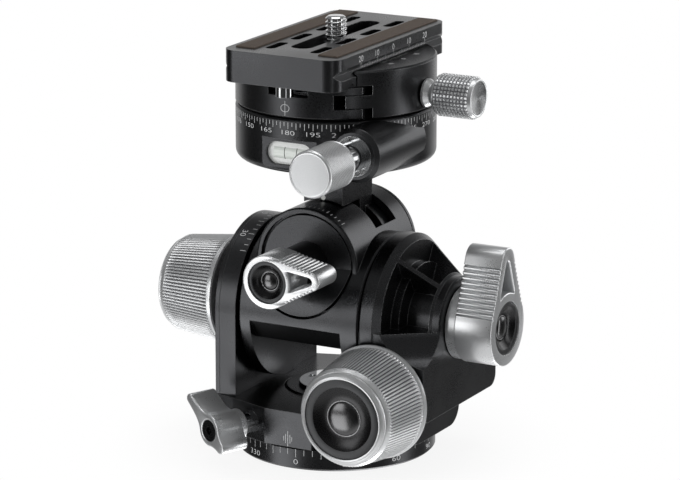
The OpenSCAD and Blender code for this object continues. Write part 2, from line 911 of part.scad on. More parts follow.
module knob_cap() {
  translate([0, 0, knob_grip_l + knob_nose_l]) dome(knob_dish_r * cap_ring_share, knob_dish_depth);
}

module knob_a_dish() { color("black") at_knob_a() knob_dish(); }
module knob_b_dish() { color("black") at_knob_b() knob_dish(); }
module knob_a_cap() { color("dimgray") at_knob_a() knob_cap(); }
module knob_b_cap() { color("dimgray") at_knob_b() knob_cap(); }

// Levers

// lever plate, from z = 0 up by t, tip along +x, dish recess in its top face
module lever_plate(r, tip_r, reach, t, wall, base_arc) {
  a = acos((r - tip_r) / reach);
  side_l = sqrt(reach * reach - (r - tip_r) * (r - tip_r));
  pitch = side_l * ridge_span_share / ridge_count;
  difference() {
    linear_extrude(t) difference() {
      link_outline(r, tip_r, reach);
      difference() {
        link_outline(r - wall, tip_r - wall, reach - lever_set);
        circle(r = base_arc);
      }
      for (s = [-1, 1], i = [0 : ridge_count]) rotate(s * a) translate([r, 0])
        rotate(-s * 90) translate([side_l * ridge_start_share + pitch * i, 0])
          circle(r = pitch * ridge_cut_share, $fn = 24);
    }
    translate([0, 0, t - dish_depth]) cylinder(r = r - lever_rim, h = dish_depth + over);
  }
}

module at_lever_d() {
  on_x(housing_x1 + body_gap) rotate(180) children();
}

module lever_d() {
  color("silver") at_lever_d() translate([0, 0, lever_d_hub_l])
    lever_plate(lever_d_r, lever_d_tip_r, lever_d_reach, lever_d_t, lever_wall, lever_d_window);
}

module lever_d_hub() {
  color("silver") at_lever_d() tube(lever_d_hub_r, lever_screw_r + run_fit, lever_d_hub_l);
}

module lever_d_cap() {
  color("dimgray") at_lever_d() translate([0, 0, lever_d_hub_l + lever_d_t]) {
    dish(lever_d_r - lever_rim - seat_fit, dish_depth, (lever_d_r - lever_rim) * cap_ring_share);
    dome((lever_d_r - lever_rim) * cap_ring_share, dish_depth);
  }
}

module at_lever_c() {
  translate([0, -disc_y - body_gap, roll_z]) rotate([90, 0, 0]) children();
}

module lever_c() {
  color("silver") at_lever_c() translate([0, 0, hub_c_l]) rotate(lever_c_turn)
    lever_plate(lever_c_r, lever_c_tip_r, lever_c_reach, lever_c_t, lever_c_wall, lever_c_window);
}

module lever_c_hub() {
  color("black") at_lever_c() {
    cylinder(r = hub_c_r, h = hub_c_l);
    translate([0, 0, -lever_screw_l]) cylinder(r = lever_screw_r, h = lever_screw_l + over);
  }
}

module lever_c_cap() {
  color("dimgray") at_lever_c() translate([0, 0, hub_c_l + lever_c_t]) {
    dish(lever_c_r - lever_rim - seat_fit, dish_depth, (lever_c_r - lever_rim) * cap_ring_share);
    dome((lever_c_r - lever_rim) * cap_ring_share, dish_depth);
  }
}

// Rotor

module drum_front() {
  intersection() {
    on_y(-cradle_r) cylinder(r = drum_r, h = cradle_r - groove_hl);
    union() {
      on_x(-cradle_hw) cylinder(r = cradle_r, h = 2 * cradle_hw);
      translate([-drum_r, -disc_y, roll_z - drum_r]) cube([2 * drum_r, disc_y, 2 * drum_r]);
    }
  }
}

module rotor() {
  color("dimgray") difference() {
    union() {
      drum_front();
      on_y(-groove_hl) cylinder(r = wheel_a_core_r, h = 2 * groove_hl);
      on_y(groove_hl) cylinder(r = drum_r, h = drum_back - groove_hl);
      translate([-stem_hw, web_y0, roll_z]) cube([2 * stem_hw, web_y1 - web_y0, stem_rise]);
      difference() {
        translate([-stem_hw, -stem_y0, roll_z]) cube([2 * stem_hw, stem_y0 + web_y1, stem_rise]);
        on_y(-stem_y0 - over) cylinder(r = barrel_r + arch_gap, h = stem_y0 + web_y1 + 2 * over);
      }
    }
    on_y(-cradle_r - over) cylinder(r = hub_c_r + body_gap, h = cradle_r + over - disc_y);
    on_y(-disc_y - over) cylinder(r = lever_screw_r + run_fit, h = over + lever_screw_l + over);
    stem_screw_holes(stem_screw_r + seat_fit, stem_head_r + seat_fit, seat_fit);
  }
}

module rear_disc() {
  color("dimgray") {
    on_y(drum_back) cylinder(r = rear_spigot_r, h = barrel_hl - drum_back + body_gap);
    on_y(barrel_hl + body_gap) bar(barrel_r - rear_disc_in, rear_disc_t, edge);
  }
}

module roll_wheel() {
  color("goldenrod") on_y(-wheel_a_w / 2) linear_extrude(wheel_a_w) difference() {
    rotate(90) wheel_outline(roll_teeth, roll_wheel_r, tooth_head, tooth_head + tooth_gap);
    circle(r = wheel_a_core_r + seat_fit);
  }
}

// Top dial

module stem_screw_holes(r, head_r, more) {
  z = dial_z0 + stem_floor;
  for (s = [-1, 1]) translate([0, s * stem_screw_y, 0]) {
    translate([0, 0, dial_z0 - stem_screw_l - more]) cylinder(r = r, h = stem_screw_l + stem_floor + 2 * more);
    translate([0, 0, z]) cylinder(r = head_r, h = more > 0 ? dial_h : stem_head_h);
  }
}

module top_dial() {
  color("dimgray") difference() {
    union() {
      translate([0, 0, dial_z0]) rotate_extrude() polygon(concat(
        [[0, 0]],
        [for (i = [0 : edge_steps]) let (a = -90 + 90 * i / edge_steps)
          [dial_r - dial_edge_r + dial_edge_r * cos(a), dial_edge_r + dial_edge_r * sin(a)]],
        [[dial_r, dial_h - dial_top_edge], [dial_r - dial_top_edge, dial_h], [0, dial_h]]));
      at_lock(0) bar(lock_boss_r, lock_boss_y, lock_boss_edge);
    }
    translate([-level_hw, -dial_r - over, dial_z0 + level_z0])
      cube([2 * level_hw, dial_r + over - level_y, level_h]);
    sweep_y(-level_y - over, vial_depth + over) translate([0, vial_z]) stadium(vial_hl, vial_r);
    at_lock(lock_boss_y - lock_shaft_in - body_gap)
      cylinder(r = lock_shaft_r + run_fit, h = lock_shaft_in + over);
    at_lock(lock_boss_y - lock_ring_t) cylinder(r = lock_ring_r, h = lock_ring_t + over);
    stem_screw_holes(stem_screw_r + seat_fit, stem_head_r + seat_fit, seat_fit);
    lid_screw_holes(lid_screw_r + seat_fit, seat_fit);
  }
}

module at_lock(out) {
  translate([lock_x, -out, dial_z0 + lock_z]) rotate([90, 0, 0]) children();
}

module lid_screw_holes(r, more) {
  for (s = [-1, 1]) translate([s * lid_screw_x, 0, dial_z1 - lid_screw_l - more])
    cylinder(r = r, h = lid_screw_l + more + over * (more > 0 ? 1 : 0));
}

module stem_screws() {
  color("silver") stem_screw_holes(stem_screw_r, stem_head_r, 0);
}

module level_backing() {
  color("white") sweep_y(-level_y + vial_depth - backing_t, backing_t)
    translate([0, vial_z]) stadium(vial_hl - seat_fit, vial_r - seat_fit);
}

module at_vial(x0) {
  translate([x0, vial_y, vial_z]) rotate([0, 90, 0]) children();
}

module level_vial() {
  color("palegreen", 0.5) difference() {
    at_vial(-vial_half) cylinder(r = vial_out_r, h = 2 * vial_half);
    at_vial(-vial_half + vial_wall) cylinder(r = vial_out_r - vial_wall, h = 2 * (vial_half - vial_wall));
  }
}

module level_bubble() {
  color("white") translate([bubble_x, vial_y, vial_z + vial_out_r - vial_wall - bubble_r - seat_fit])
    rotate([0, 90, 0]) translate([0, 0, -bubble_l / 2]) bar(bubble_r, bubble_l, bubble_r / 2);
}

module lock_ring() {
  color("lightgray") at_lock(lock_boss_y - lock_ring_t)
    tube(lock_ring_r - seat_fit, lock_shaft_r + run_fit, lock_ring_t + lock_ring_proud);
}

module clamp_lid() {
  color("dimgray") translate([0, 0, dial_z1]) difference() {
    union() {
      cylinder(r = dial_boss_r, h = boss_top + clamp_lid_t / 2);
      translate([0, 0, boss_top]) bar(dial_boss_r + clamp_lid_lap, clamp_lid_t, clamp_lid_edge);
    }
    for (s = [-1, 1]) translate([s * lid_screw_x, 0, -over]) {
      cylinder(r = lid_screw_r + seat_fit, h = boss_top + clamp_lid_t + 2 * over);
      translate([0, 0, over + boss_top + clamp_lid_t - lid_head_h])
        cylinder(r = lid_head_r + seat_fit, h = lid_head_h + over);
    }
  }
}

module lid_screws() {
  color("silver") {
    lid_screw_holes(lid_screw_r, 0);
    for (s = [-1, 1]) translate([s * lid_screw_x, 0, dial_z1]) {
      cylinder(r = lid_screw_r, h = boss_top + clamp_lid_t);
      translate([0, 0, boss_top + clamp_lid_t - lid_head_h]) cylinder(r = lid_head_r, h = lid_head_h);
    }
  }
}

module lock_shaft() {
  color("lightgray") at_lock(lock_boss_y - lock_shaft_in)
    cylinder(r = lock_shaft_r, h = lock_shaft_in + lock_neck_l);
}

module lock_knob() {
  color("silver") at_lock(lock_boss_y + lock_neck_l) bar(lock_knob_r, lock_knob_l, lock_knob_edge);
}

// Plate clamp

module clamp_blank(z1) {
  translate([0, 0, clamp_z0]) rotate_extrude() polygon([
    [0, 0], [dial_r - clamp_edge, 0], [dial_r, clamp_edge],
    [dial_r, z1 - clamp_z0 - clamp_edge], [dial_r - clamp_edge, z1 - clamp_z0], [0, z1 - clamp_z0]]);
}

// space that the plate takes between the lips, s = 1 right, -1 left
module plate_channel() {
  top = lip_z1 - clamp_z1 + over;
  rise = plate_gap + lip_rise;
  sweep_y(-dial_r - over, 2 * (dial_r + over)) translate([0, clamp_z1]) polygon([
    [-lip_x, 0], [-lip_x, rise], [-lip_x + top - rise, top],
    [lip_x - top + rise, top], [lip_x, rise], [lip_x, 0]]);
}

module clamp_body() {
  color("dimgray") difference() {
    clamp_blank(lip_z1);
    plate_channel();
    translate([split_x, -dial_r - over, clamp_z0 - over])
      cube([dial_r, 2 * (dial_r + over), lip_z1 - clamp_z0 + 2 * over]);
    translate([0, -dial_r - over, clamp_z1])
      cube([dial_r + over, 2 * (dial_r + over), lip_z1 - clamp_z1 + over]);
    translate([jaw_x0 - tongue_l - jaw_travel, -dial_r - over, tongue_z0 - tongue_play])
      cube([dial_r, 2 * (dial_r + over), tongue_h + 2 * tongue_play]);
    translate([-notch_hw, -dial_r - over, clamp_z1 - notch_d])
      cube([2 * notch_hw, dial_r + over - notch_y, notch_d + over]);
    translate([-notch_hw, notch_y, clamp_z1 - notch_d])
      cube([2 * notch_hw, dial_r + over, notch_d + over]);
    translate([0, 0, clamp_z0 - over]) cylinder(r = dial_boss_r + run_fit, h = clamp_h + 2 * over);
    translate([0, 0, dial_z1 + boss_top - washer_play]) cylinder(r = lid_space_r, h = clamp_h);
    translate([lid_space_r, 0, clamp_axis]) rotate([0, 90, 0])
      cylinder(r = clamp_thread_r + run_fit, h = dial_r);
    for (s = [-1, 1]) translate([jaw_x0 - tongue_l - jaw_travel - pin_l, s * pin_y, tongue_z0 + tongue_h / 2])
      rotate([0, 90, 0]) cylinder(r = pin_r + run_fit, h = dial_r);
  }
}

module clamp_jaw() {
  color("dimgray") difference() {
    union() {
      difference() {
        clamp_blank(lip_z1);
        translate([-2 * dial_r + jaw_x0, -dial_r - over, clamp_z0 - over])
          cube([2 * dial_r, 2 * (dial_r + over), clamp_h + over + plate_gap]);
        translate([-2 * dial_r + lip_x - lip_edge - lip_in, -dial_r - over, clamp_z1 - over])
          cube([2 * dial_r, 2 * (dial_r + over), lip_h + 2 * over]);
        translate([-2 * dial_r + lip_x, -dial_r - over, clamp_z1 - over])
          cube([2 * dial_r, 2 * (dial_r + over), plate_gap + over]);
      }
      intersection() {
        clamp_blank(lip_z1);
        translate([jaw_x0 - tongue_l, -dial_r, tongue_z0]) cube([tongue_l + over, 2 * dial_r, tongue_h]);
      }
    }
    plate_channel();
    translate([0, 0, clamp_axis]) rotate([0, 90, 0]) cylinder(r = clamp_thread_r + run_fit, h = 2 * dial_r);
    for (s = [-1, 1]) translate([jaw_x0 - tongue_l - over, s * pin_y, tongue_z0 + tongue_h / 2])
      rotate([0, 90, 0]) cylinder(r = pin_r + seat_fit, h = tongue_l + over + pin_seat);
  }
}

module jaw_pins() {
  color("silver") for (s = [-1, 1])
    translate([jaw_x0 - tongue_l - pin_l, s * pin_y, tongue_z0 + tongue_h / 2])
      rotate([0, 90, 0]) cylinder(r = pin_r, h = pin_l + tongue_l + pin_seat);
}

module on_clamp(x0) {
  translate([x0, 0, clamp_axis]) rotate([0, 90, 0]) children();
}

module clamp_screw() {
  color("silver") on_clamp(lid_space_r + body_gap)
    cylinder(r = clamp_thread_r, h = dial_r + body_gap - lid_space_r - body_gap + neck_l);
}

module clamp_neck() {
  color("silver") on_clamp(dial_r + body_gap) difference() {
    rotate_extrude() polygon([
      [0, 0], [neck_r, 0], [neck_r, neck_l / 6], [neck_waist_r, neck_l / 2],
      [neck_r, neck_l], [0, neck_l]]);
    translate([0, 0, -over]) cylinder(r = clamp_thread_r + seat_fit, h = neck_l + 2 * over);
  }
}

module clamp_knob() {
  color("silver") on_clamp(dial_r + body_gap + neck_l) rotate_extrude() polygon([
    [0, 0], [grip_r - edge, 0], [grip_r, edge], [grip_r, grip_l],
    [grip_face_r, grip_l + grip_nose_l], [0, grip_l + grip_nose_l]]);
}

// Plate

module plate_section() {
  hw = plate_w / 2;
  polygon([
    [-hw, 0], [hw, 0], [hw, groove_rise], [hw - groove_deep, groove_rise + groove_deep],
    [hw, groove_rise + 2 * groove_deep], [hw, plate_h], [-hw, plate_h],
    [-hw, groove_rise + 2 * groove_deep], [-hw + groove_deep, groove_rise + groove_deep],
    [-hw, groove_rise]]);
}

module strip_plan(more) {
  for (s = [-1, 1]) translate([s * (strip_in + strip_w / 2), (strip_back - strip_front) / 2])
    square([strip_w + 2 * more, strip_back + strip_front + 2 * more], center = true);
}

module release_plate() {
  color("dimgray") difference() {
    intersection() {
      translate([0, 0, plate_z0]) linear_extrude(plate_h) round_rect(plate_w, plate_l, plate_corner_r);
      sweep_y(-plate_l / 2, plate_l) translate([0, plate_z0]) plate_section();
    }
    translate([0, 0, plate_z1 - strip_depth]) linear_extrude(strip_depth + over) strip_plan(seat_fit);
    translate([0, 0, plate_z0 - over]) linear_extrude(plate_h + 2 * over) rotate(90) stadium(slot_hl, slot_hw);
    translate([0, 0, plate_z0 - over]) linear_extrude(head_slot_d + over)
      rotate(90) stadium(slot_hl + head_slot_hw - slot_hw, head_slot_hw);
    for (sx = [-1, 1], y = [-side_slot_y2, -side_slot_y1, side_slot_y1, side_slot_y2])
      translate([sx * side_slot_x, y, plate_z0 + head_slot_d + over]) linear_extrude(plate_h)
        rotate(90) stadium(side_slot_hl, side_slot_hw);
    for (s = [-1, 1]) translate([0, s * peg_y, plate_z0 - over])
      cylinder(r = peg_thread_r + seat_fit, h = over + peg_thread_l);
  }
}

module grip_strips() {
  color("saddlebrown") translate([0, 0, plate_z1 - strip_depth])
    linear_extrude(strip_depth + strip_proud) strip_plan(0);
}

module stop_screws() {
  color("lightgray") for (s = [-1, 1]) translate([0, s * peg_y, plate_z0]) {
    translate([0, 0, -peg_l]) cylinder(r = peg_r, h = peg_l);
    cylinder(r = peg_thread_r, h = peg_thread_l - seat_fit);
  }
}

module camera_screw() {
  color("silver") difference() {
    union() {
      translate([0, 0, plate_z0 + screw_head_up]) cylinder(r = screw_head_r, h = screw_head_h);
      translate([0, 0, plate_z0 + screw_head_up])
        cylinder(r = camera_shank_r, h = plate_z1 + camera_rise - plate_z0 - screw_head_up);
      translate([0, 0, plate_z1 + strip_proud]) cylinder(r = camera_r, h = camera_rise - strip_proud);
    }
    translate([-screw_head_r - over, -camera_slot_w / 2, plate_z0 + screw_head_up - over])
      cube([2 * (screw_head_r + over), camera_slot_w, over + camera_slot_d]);
  }
}

// Wing knob

// child's z points outwards along the wing knob's axis, y up
module wing_frame(out) {
  rotate([0, 0, -wing_turn]) translate([0, -out, wing_z]) rotate([90, 0, 0]) children();
}

module wing_shaft() {
  color("silver") {
    wing_frame(pan_hub_r + wing_gap) cylinder(r = wing_pin_r, h = wing_in + body_gap - pan_hub_r);
    wing_frame(wing_in + body_gap)
      cylinder(r = wing_r, h = wing_out + wing_free + wing_hub_l - wing_cap_t - wing_in - body_gap);
  }
}

module wing_knob() {
  color("silver") wing_frame(wing_out + wing_free) difference() {
    union() {
      cylinder(r = wing_hub_r, h = wing_hub_l);
      translate([0, 0, wing_hub_l - wing_depth]) linear_extrude(wing_depth) {
        rotate(wing_lean) link_outline(wing_root_r, wing_neck_r, wing_neck_d);
        rotate(wing_lean) translate([wing_neck_d, 0])
          link_outline(wing_neck_r, wing_tip_r, wing_tip_d - wing_neck_d);
        rotate(wing_lean + 180) link_outline(wing_root_r, wing_tip_r, wing_short_d);
      }
    }
    translate([0, 0, -over]) cylinder(r = wing_r + seat_fit, h = wing_hub_l + 2 * over);
    translate([0, 0, wing_hub_l - wing_cap_t]) cylinder(r = wing_cap_r + wing_r / 8, h = wing_cap_t + over);
  }
}

module wing_cap() {
  color("black") wing_frame(wing_out + wing_free + wing_hub_l - wing_cap_t) difference() {
    cylinder(r = wing_cap_r, h = wing_cap_t - seat_fit);
    translate([0, 0, wing_cap_t / 2]) cylinder(r = wing_hex_r, h = wing_cap_t, $fn = hex_sides);
  }
}

base_dial();
tripod_socket();
pan_washer();
retainer_lid();
centre_nut();
yoke_base();
left_upright();
gear_housing();
left_cover();
cover_screws();
left_bush();
right_bush();
worm_bushings();
cradle();
left_trunnion();
worm_cap();
right_trunnion();
tilt_wheel();
knob_a();
knob_a_dish();
knob_a_cap();
worm_a();
knob_b();
knob_b_dish();
knob_b_cap();
worm_b();
lever_c();
lever_c_hub();
lever_c_cap();
lever_d();
lever_d_hub();
lever_d_cap();
rotor();
rear_disc();
roll_wheel();
top_dial();
stem_screws();
level_backing();
level_vial();
level_bubble();
lock_ring();
clamp_lid();
lid_screws();
lock_knob();
lock_shaft();
clamp_body();
clamp_jaw();
jaw_pins();
clamp_knob();
clamp_neck();
clamp_screw();
release_plate();
grip_strips();
stop_screws();
camera_screw();
wing_knob();
wing_shaft();
wing_cap();
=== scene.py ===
"""Geared tripod head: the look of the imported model. Sizes are in millimetres, objects in metres."""
import json
import math

import bpy
from mathutils import Matrix, Vector
from mathutils.geometry import tessellate_polygon


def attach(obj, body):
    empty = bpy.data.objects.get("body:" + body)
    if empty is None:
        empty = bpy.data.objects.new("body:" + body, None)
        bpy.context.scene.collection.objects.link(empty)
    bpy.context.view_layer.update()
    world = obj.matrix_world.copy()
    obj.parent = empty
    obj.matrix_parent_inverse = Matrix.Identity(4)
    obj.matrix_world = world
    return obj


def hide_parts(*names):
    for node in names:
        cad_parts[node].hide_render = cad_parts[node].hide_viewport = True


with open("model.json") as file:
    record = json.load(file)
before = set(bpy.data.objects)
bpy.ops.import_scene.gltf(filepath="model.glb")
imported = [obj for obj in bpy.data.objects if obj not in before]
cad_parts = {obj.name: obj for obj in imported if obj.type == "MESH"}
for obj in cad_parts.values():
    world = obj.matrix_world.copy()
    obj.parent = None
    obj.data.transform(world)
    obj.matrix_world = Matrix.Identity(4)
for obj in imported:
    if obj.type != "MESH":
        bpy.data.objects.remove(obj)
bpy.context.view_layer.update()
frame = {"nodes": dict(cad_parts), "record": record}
nodes = frame["nodes"]

MM = 0.001
TAU = 2 * math.pi

# Places and sizes of the part; the level's window is a little smaller than its recess there
TILT_Z = 43.2
ROLL_Z = 59.7
WHEEL_X = 26.8
WORM_B_Z = 23.4
BASE_R = 30.0
DIAL_R, DIAL_Z0, DIAL_H = 29.75, 89.3, 16.2
DIAL_Z1 = DIAL_Z0 + DIAL_H
PLATE_Z0 = 115.9
PLATE_Z1 = 125.3
LIP_Z1 = 120.2
CLAMP_AXIS = 110.9
KNOB_R, KNOB_END_R, KNOB_GRIP, KNOB_NOSE = 17.1, 14.7, 18.8, 2.2
KNOB_TOP = KNOB_GRIP + KNOB_NOSE
KNOB_FACE_R, DISH_R, DISH_DEPTH = 12.9, 12.0, 2.6
LEVER_D_Z0, LEVER_D_Z1 = 3.0, 15.0
LEVER_C_Z0, LEVER_C_Z1 = 13.1, 24.1
UPRIGHT_R, UPRIGHT_X = 25.0, -22.9
BARREL_R, BARREL_FRONT = 16.9, -16.6
SLAB_FRONT, STEM_FRONT = 31.0, 8.0
PLATE_HW = 19.0
LEVEL_Z = DIAL_Z0 + 1.1 + 9.0 / 2
LEVEL_FLAT, VIAL_GAP, VIAL_R, VIAL_HL, WINDOW_R = 28.35, 0.6, 2.8, 7.7, 3.42


def at(x=0.0, y=0.0, z=0.0):
    return Matrix.Translation((x * MM, y * MM, z * MM))


def turn(axis, degrees):
    return Matrix.Rotation(math.radians(degrees), 4, axis)


AT_KNOB_A = at(-33.7, 0, TILT_Z) @ turn("Y", -90)
AT_KNOB_B = at(WHEEL_X, -25.3, WORM_B_Z) @ turn("X", 90)
AT_LEVER_D = at(42.0, 0, TILT_Z) @ turn("Y", 90) @ turn("Z", 180)
AT_LEVER_C = at(0, -17.9, ROLL_Z) @ turn("X", 90)


def at_lock(out):
    return at(22.5, -out, DIAL_Z0 + 8.1) @ turn("X", 90)


def on_clamp(x):
    return at(x, 0, CLAMP_AXIS) @ turn("Y", 90)


def wing_frame(out):
    return turn("Z", -23.6) @ at(0, -out, 12.4) @ turn("X", 90)


# Materials
# Edge mask thresholds, and how far the painted edge highlight goes towards its colour
EDGE_TURN, EDGE_FLAT, PAINTED_HIGHLIGHT_SHARE = 0.80, 0.985, 0.5
NOISE_LOW, NOISE_HIGH = 0.3, 0.7


class Paint:
    """A procedural material; its methods add and join nodes."""

    def __init__(self, name, color, metallic, rough, **sockets):
        self.m = bpy.data.materials.new(name)
        self.m.use_nodes = True
        self.t = self.m.node_tree
        self.p = next(n for n in self.t.nodes if n.type == "BSDF_PRINCIPLED")
        self.p.inputs["Base Color"].default_value = (*color, 1)
        self.p.inputs["Metallic"].default_value = metallic
        self.p.inputs["Roughness"].default_value = rough
        for key, value in sockets.items():
            self.p.inputs[key.replace("_", " ")].default_value = value
        self.where = self.node("TexCoord").outputs["Object"]

    def node(self, kind, **props):
        n = self.t.nodes.new("ShaderNode" + kind)
        for key, value in props.items():
            setattr(n, key, value)
        return n

    def link(self, a, b):
        self.t.links.new(a, b)

    def noise(self, scale, detail, rough):
        n = self.node("TexNoise")
        n.inputs["Scale"].default_value = scale
        n.inputs["Detail"].default_value = detail
        n.inputs["Roughness"].default_value = rough
        self.link(self.where, n.inputs["Vector"])
        return n.outputs["Fac"]

    def remap(self, value, a, b, c, d):
        n = self.node("MapRange", clamp=True)
        self.link(value, n.inputs["Value"])
        for key, number in zip(("From Min", "From Max", "To Min", "To Max"), (a, b, c, d)):
            n.inputs[key].default_value = number
        return n.outputs["Result"]

    def spread(self, value, low, high):
        """Noise stretched from its usual range to low..high."""
        return self.remap(value, NOISE_LOW, NOISE_HIGH, low, high)

    def math(self, kind, a, b):
        n = self.node("Math", operation=kind)
        for i, v in enumerate((a, b)):
            if isinstance(v, (int, float)):
                n.inputs[i].default_value = v
            else:
                self.link(v, n.inputs[i])
        return n.outputs[0]

    def mix(self, factor, a, b):
        n = self.node("MixRGB")
        self.link(factor, n.inputs[0])
        for i, v in ((1, a), (2, b)):
            if isinstance(v, tuple):
                n.inputs[i].default_value = (*v, 1)
            else:
                self.link(v, n.inputs[i])
        return n.outputs[0]

    def round_edges(self, radius):
        """Normal of softly rounded edges, and a mask that is 1 on them, for a painted highlight on the
        edges.
        """
        bevel = self.node("Bevel", samples=4)
        bevel.inputs["Radius"].default_value = radius * MM
        here = self.node("NewGeometry")
        dot = self.node("VectorMath", operation="DOT_PRODUCT")
        self.link(bevel.outputs["Normal"], dot.inputs[0])
        self.link(here.outputs["Normal"], dot.inputs[1])
        return bevel.outputs["Normal"], self.remap(dot.outputs["Value"], EDGE_TURN, EDGE_FLAT, 1, 0)

    def bump(self, height, strength, distance, normal=None):
        n = self.node("Bump")
        n.inputs["Strength"].default_value = strength
        n.inputs["Distance"].default_value = distance * MM
        self.link(height, n.inputs["Height"])
        if normal is not None:
            self.link(normal, n.inputs["Normal"])
        self.link(n.outputs["Normal"], self.p.inputs["Normal"])

    def color(self, socket):
        self.link(socket, self.p.inputs["Base Color"])

    def rough(self, socket):
        self.link(socket, self.p.inputs["Roughness"])


def darker(tint, share):
    return tuple(c * share for c in tint)


def anodised(name, dark, light, edge, rough=(0.25, 0.33), radius=0.3, grain=0.08):
    """Black anodised aluminium: fine blasted grain, cloudy sheen, and a painted highlight on the edges."""
    p = Paint(name, dark, 1.0, sum(rough) / 2)
    fine = p.noise(3600, 2, 0.6)
    cloud = p.noise(55, 3, 0.5)
    normal, highlight_mask = p.round_edges(radius)
    body = p.mix(p.remap(fine, 0.35, 0.7, 0, 1), dark, light)
    # Painted highlight: the edges are mixed towards the bright edge colour
    p.color(p.mix(p.math("MULTIPLY", highlight_mask, PAINTED_HIGHLIGHT_SHARE), body, edge))
    p.rough(p.math("ADD", p.spread(cloud, *rough), p.spread(fine, -0.03, 0.05)))
    p.bump(fine, grain, 0.03, normal)
    return p.m


def silver(name, tint, rough, radius=0.0, grain=0.02):
    """Satin silver anodised aluminium; with a radius the edges are rounded and get a painted highlight,
    radius 0 leaves the edges as modelled.
    """
    p = Paint(name, tint, 0.86, sum(rough) / 2)
    fine = p.noise(3000, 2, 0.6)
    cloud = p.noise(70, 3, 0.5)
    body = p.mix(p.spread(fine, 0, 1), darker(tint, 0.93), tint)
    normal = None
    if radius:
        normal, highlight_mask = p.round_edges(radius)
        # Painted highlight: the rounded edges are mixed towards a brighter tint
        body = p.mix(p.math("MULTIPLY", highlight_mask, PAINTED_HIGHLIGHT_SHARE), body, tuple(min(1.0, c * 1.35) for c in tint))
    p.color(body)
    p.rough(p.math("ADD", p.spread(cloud, *rough), p.spread(fine, -0.02, 0.03)))
    p.bump(fine, grain, 0.01, normal)
    return p.m


def turned(name, tint, rough, anisotropic, axis):
    """A face turned on a lathe: fine rings, with the stretched highlight of such a face."""
    p = Paint(name, tint, 1.0, rough, Anisotropic=anisotropic)
    wave = p.node("TexWave", wave_type="RINGS", rings_direction="Z")
    wave.inputs["Scale"].default_value = 450
    wave.inputs["Distortion"].default_value = 0.4
    p.link(p.where, wave.inputs["Vector"])
    grain = p.noise(2600, 2, 0.6)
    p.color(p.mix(p.spread(grain, 0, 1), darker(tint, 0.85), tint))
    tangent = p.node("Tangent", direction_type="RADIAL", axis=axis)
    p.link(tangent.outputs["Tangent"], p.p.inputs["Tangent"])
    p.bump(wave.outputs["Fac"], 0.12, 0.01)
    return p.m


def chrome(name, tint, rough=(0.06, 0.16)):
    p = Paint(name, tint, 1.0, 0.1)
    cloud = p.noise(240, 4, 0.6)
    normal, highlight_mask = p.round_edges(0.15)
    p.rough(p.remap(cloud, 0.35, 0.7, *rough))
    p.color(p.mix(p.spread(cloud, 0, 1), tint, darker(tint, 0.92)))
    p.bump(cloud, 0.04, 0.02, normal)
    return p.m


BLACK = (0.056, 0.057, 0.060)
BLACK_LIGHT = (0.074, 0.075, 0.078)
# The third colour of each anodised material is the colour of the painted highlight on its edges
PAINTED_EDGE_HIGHLIGHT = (0.40, 0.405, 0.41)
black_anodised = anodised("black_anodised", BLACK, BLACK_LIGHT, PAINTED_EDGE_HIGHLIGHT)
dial_black = anodised("dial_black", BLACK, BLACK_LIGHT, PAINTED_EDGE_HIGHLIGHT, rough=(0.26, 0.34), radius=0.25)
dish_black = anodised("dish_black", (0.036, 0.036, 0.037), (0.044, 0.044, 0.045), (0.12, 0.12, 0.12),
                      rough=(0.24, 0.30), radius=0.12, grain=0.03)
dish_ring = anodised("dish_ring", (0.062, 0.063, 0.065), (0.076, 0.077, 0.079), PAINTED_EDGE_HIGHLIGHT, rough=(0.40, 0.48),
                     radius=0.12, grain=0.05)
dome_black = anodised("dome_black", (0.110, 0.110, 0.112), (0.125, 0.125, 0.127), (0.20, 0.20, 0.20),
                      rough=(0.17, 0.21), radius=0.1, grain=0.02)
satin_silver = silver("satin_silver", (0.74, 0.75, 0.76), rough=(0.27, 0.32), radius=0.14, grain=0.03)
knurled_silver = silver("knurled_silver", (0.74, 0.75, 0.76), rough=(0.32, 0.38))
# Painted shade for the floors of the knurls
knurl_shade = silver("knurl_shade", (0.20, 0.20, 0.21), rough=(0.40, 0.46))
wire_silver = silver("wire_silver", (0.50, 0.50, 0.51), rough=(0.36, 0.42))
face_silver = silver("face_silver", (0.66, 0.67, 0.68), rough=(0.42, 0.48), grain=0.03)
turned_silver = turned("turned_silver", (0.62, 0.63, 0.64), 0.26, 0.85, "Z")
polished_steel = chrome("polished_steel", (0.62, 0.63, 0.64))
bright_chrome = chrome("bright_chrome", (0.85, 0.86, 0.87), rough=(0.04, 0.10))
steel = chrome("steel", (0.50, 0.50, 0.51), rough=(0.22, 0.34))
bronze = chrome("bronze", (0.62, 0.44, 0.20), rough=(0.24, 0.36))


def engraving():
    p = Paint("scale_white", (0.80, 0.81, 0.82), 0.0, 0.55)
    fine = p.remap(p.noise(4200, 3, 0.7), 0.3, 0.72, 0, 1)
    p.color(p.mix(fine, (0.84, 0.85, 0.86), (0.66, 0.67, 0.68)))
    return p.m


scale_white = engraving()


def rubber():
    p = Paint("grip_rubber", (0.055, 0.042, 0.034), 0.0, 0.72, Specular_IOR_Level=0.3)
    fine = p.noise(2400, 3, 0.6)
    p.color(p.mix(p.spread(fine, 0, 1), (0.078, 0.061, 0.049), (0.125, 0.098, 0.080)))
    p.rough(p.spread(fine, 0.6, 0.8))
    p.bump(fine, 0.3, 0.05)
    return p.m


def plastic(name, light, dark, rough):
    p = Paint(name, light, 0.0, rough)
    fine = p.noise(1500, 3, 0.6)
    p.color(p.mix(p.spread(fine, 0, 1), light, dark))
    p.rough(p.spread(fine, rough - 0.05, rough + 0.05))
    p.bump(fine, 0.08, 0.02)
    return p.m


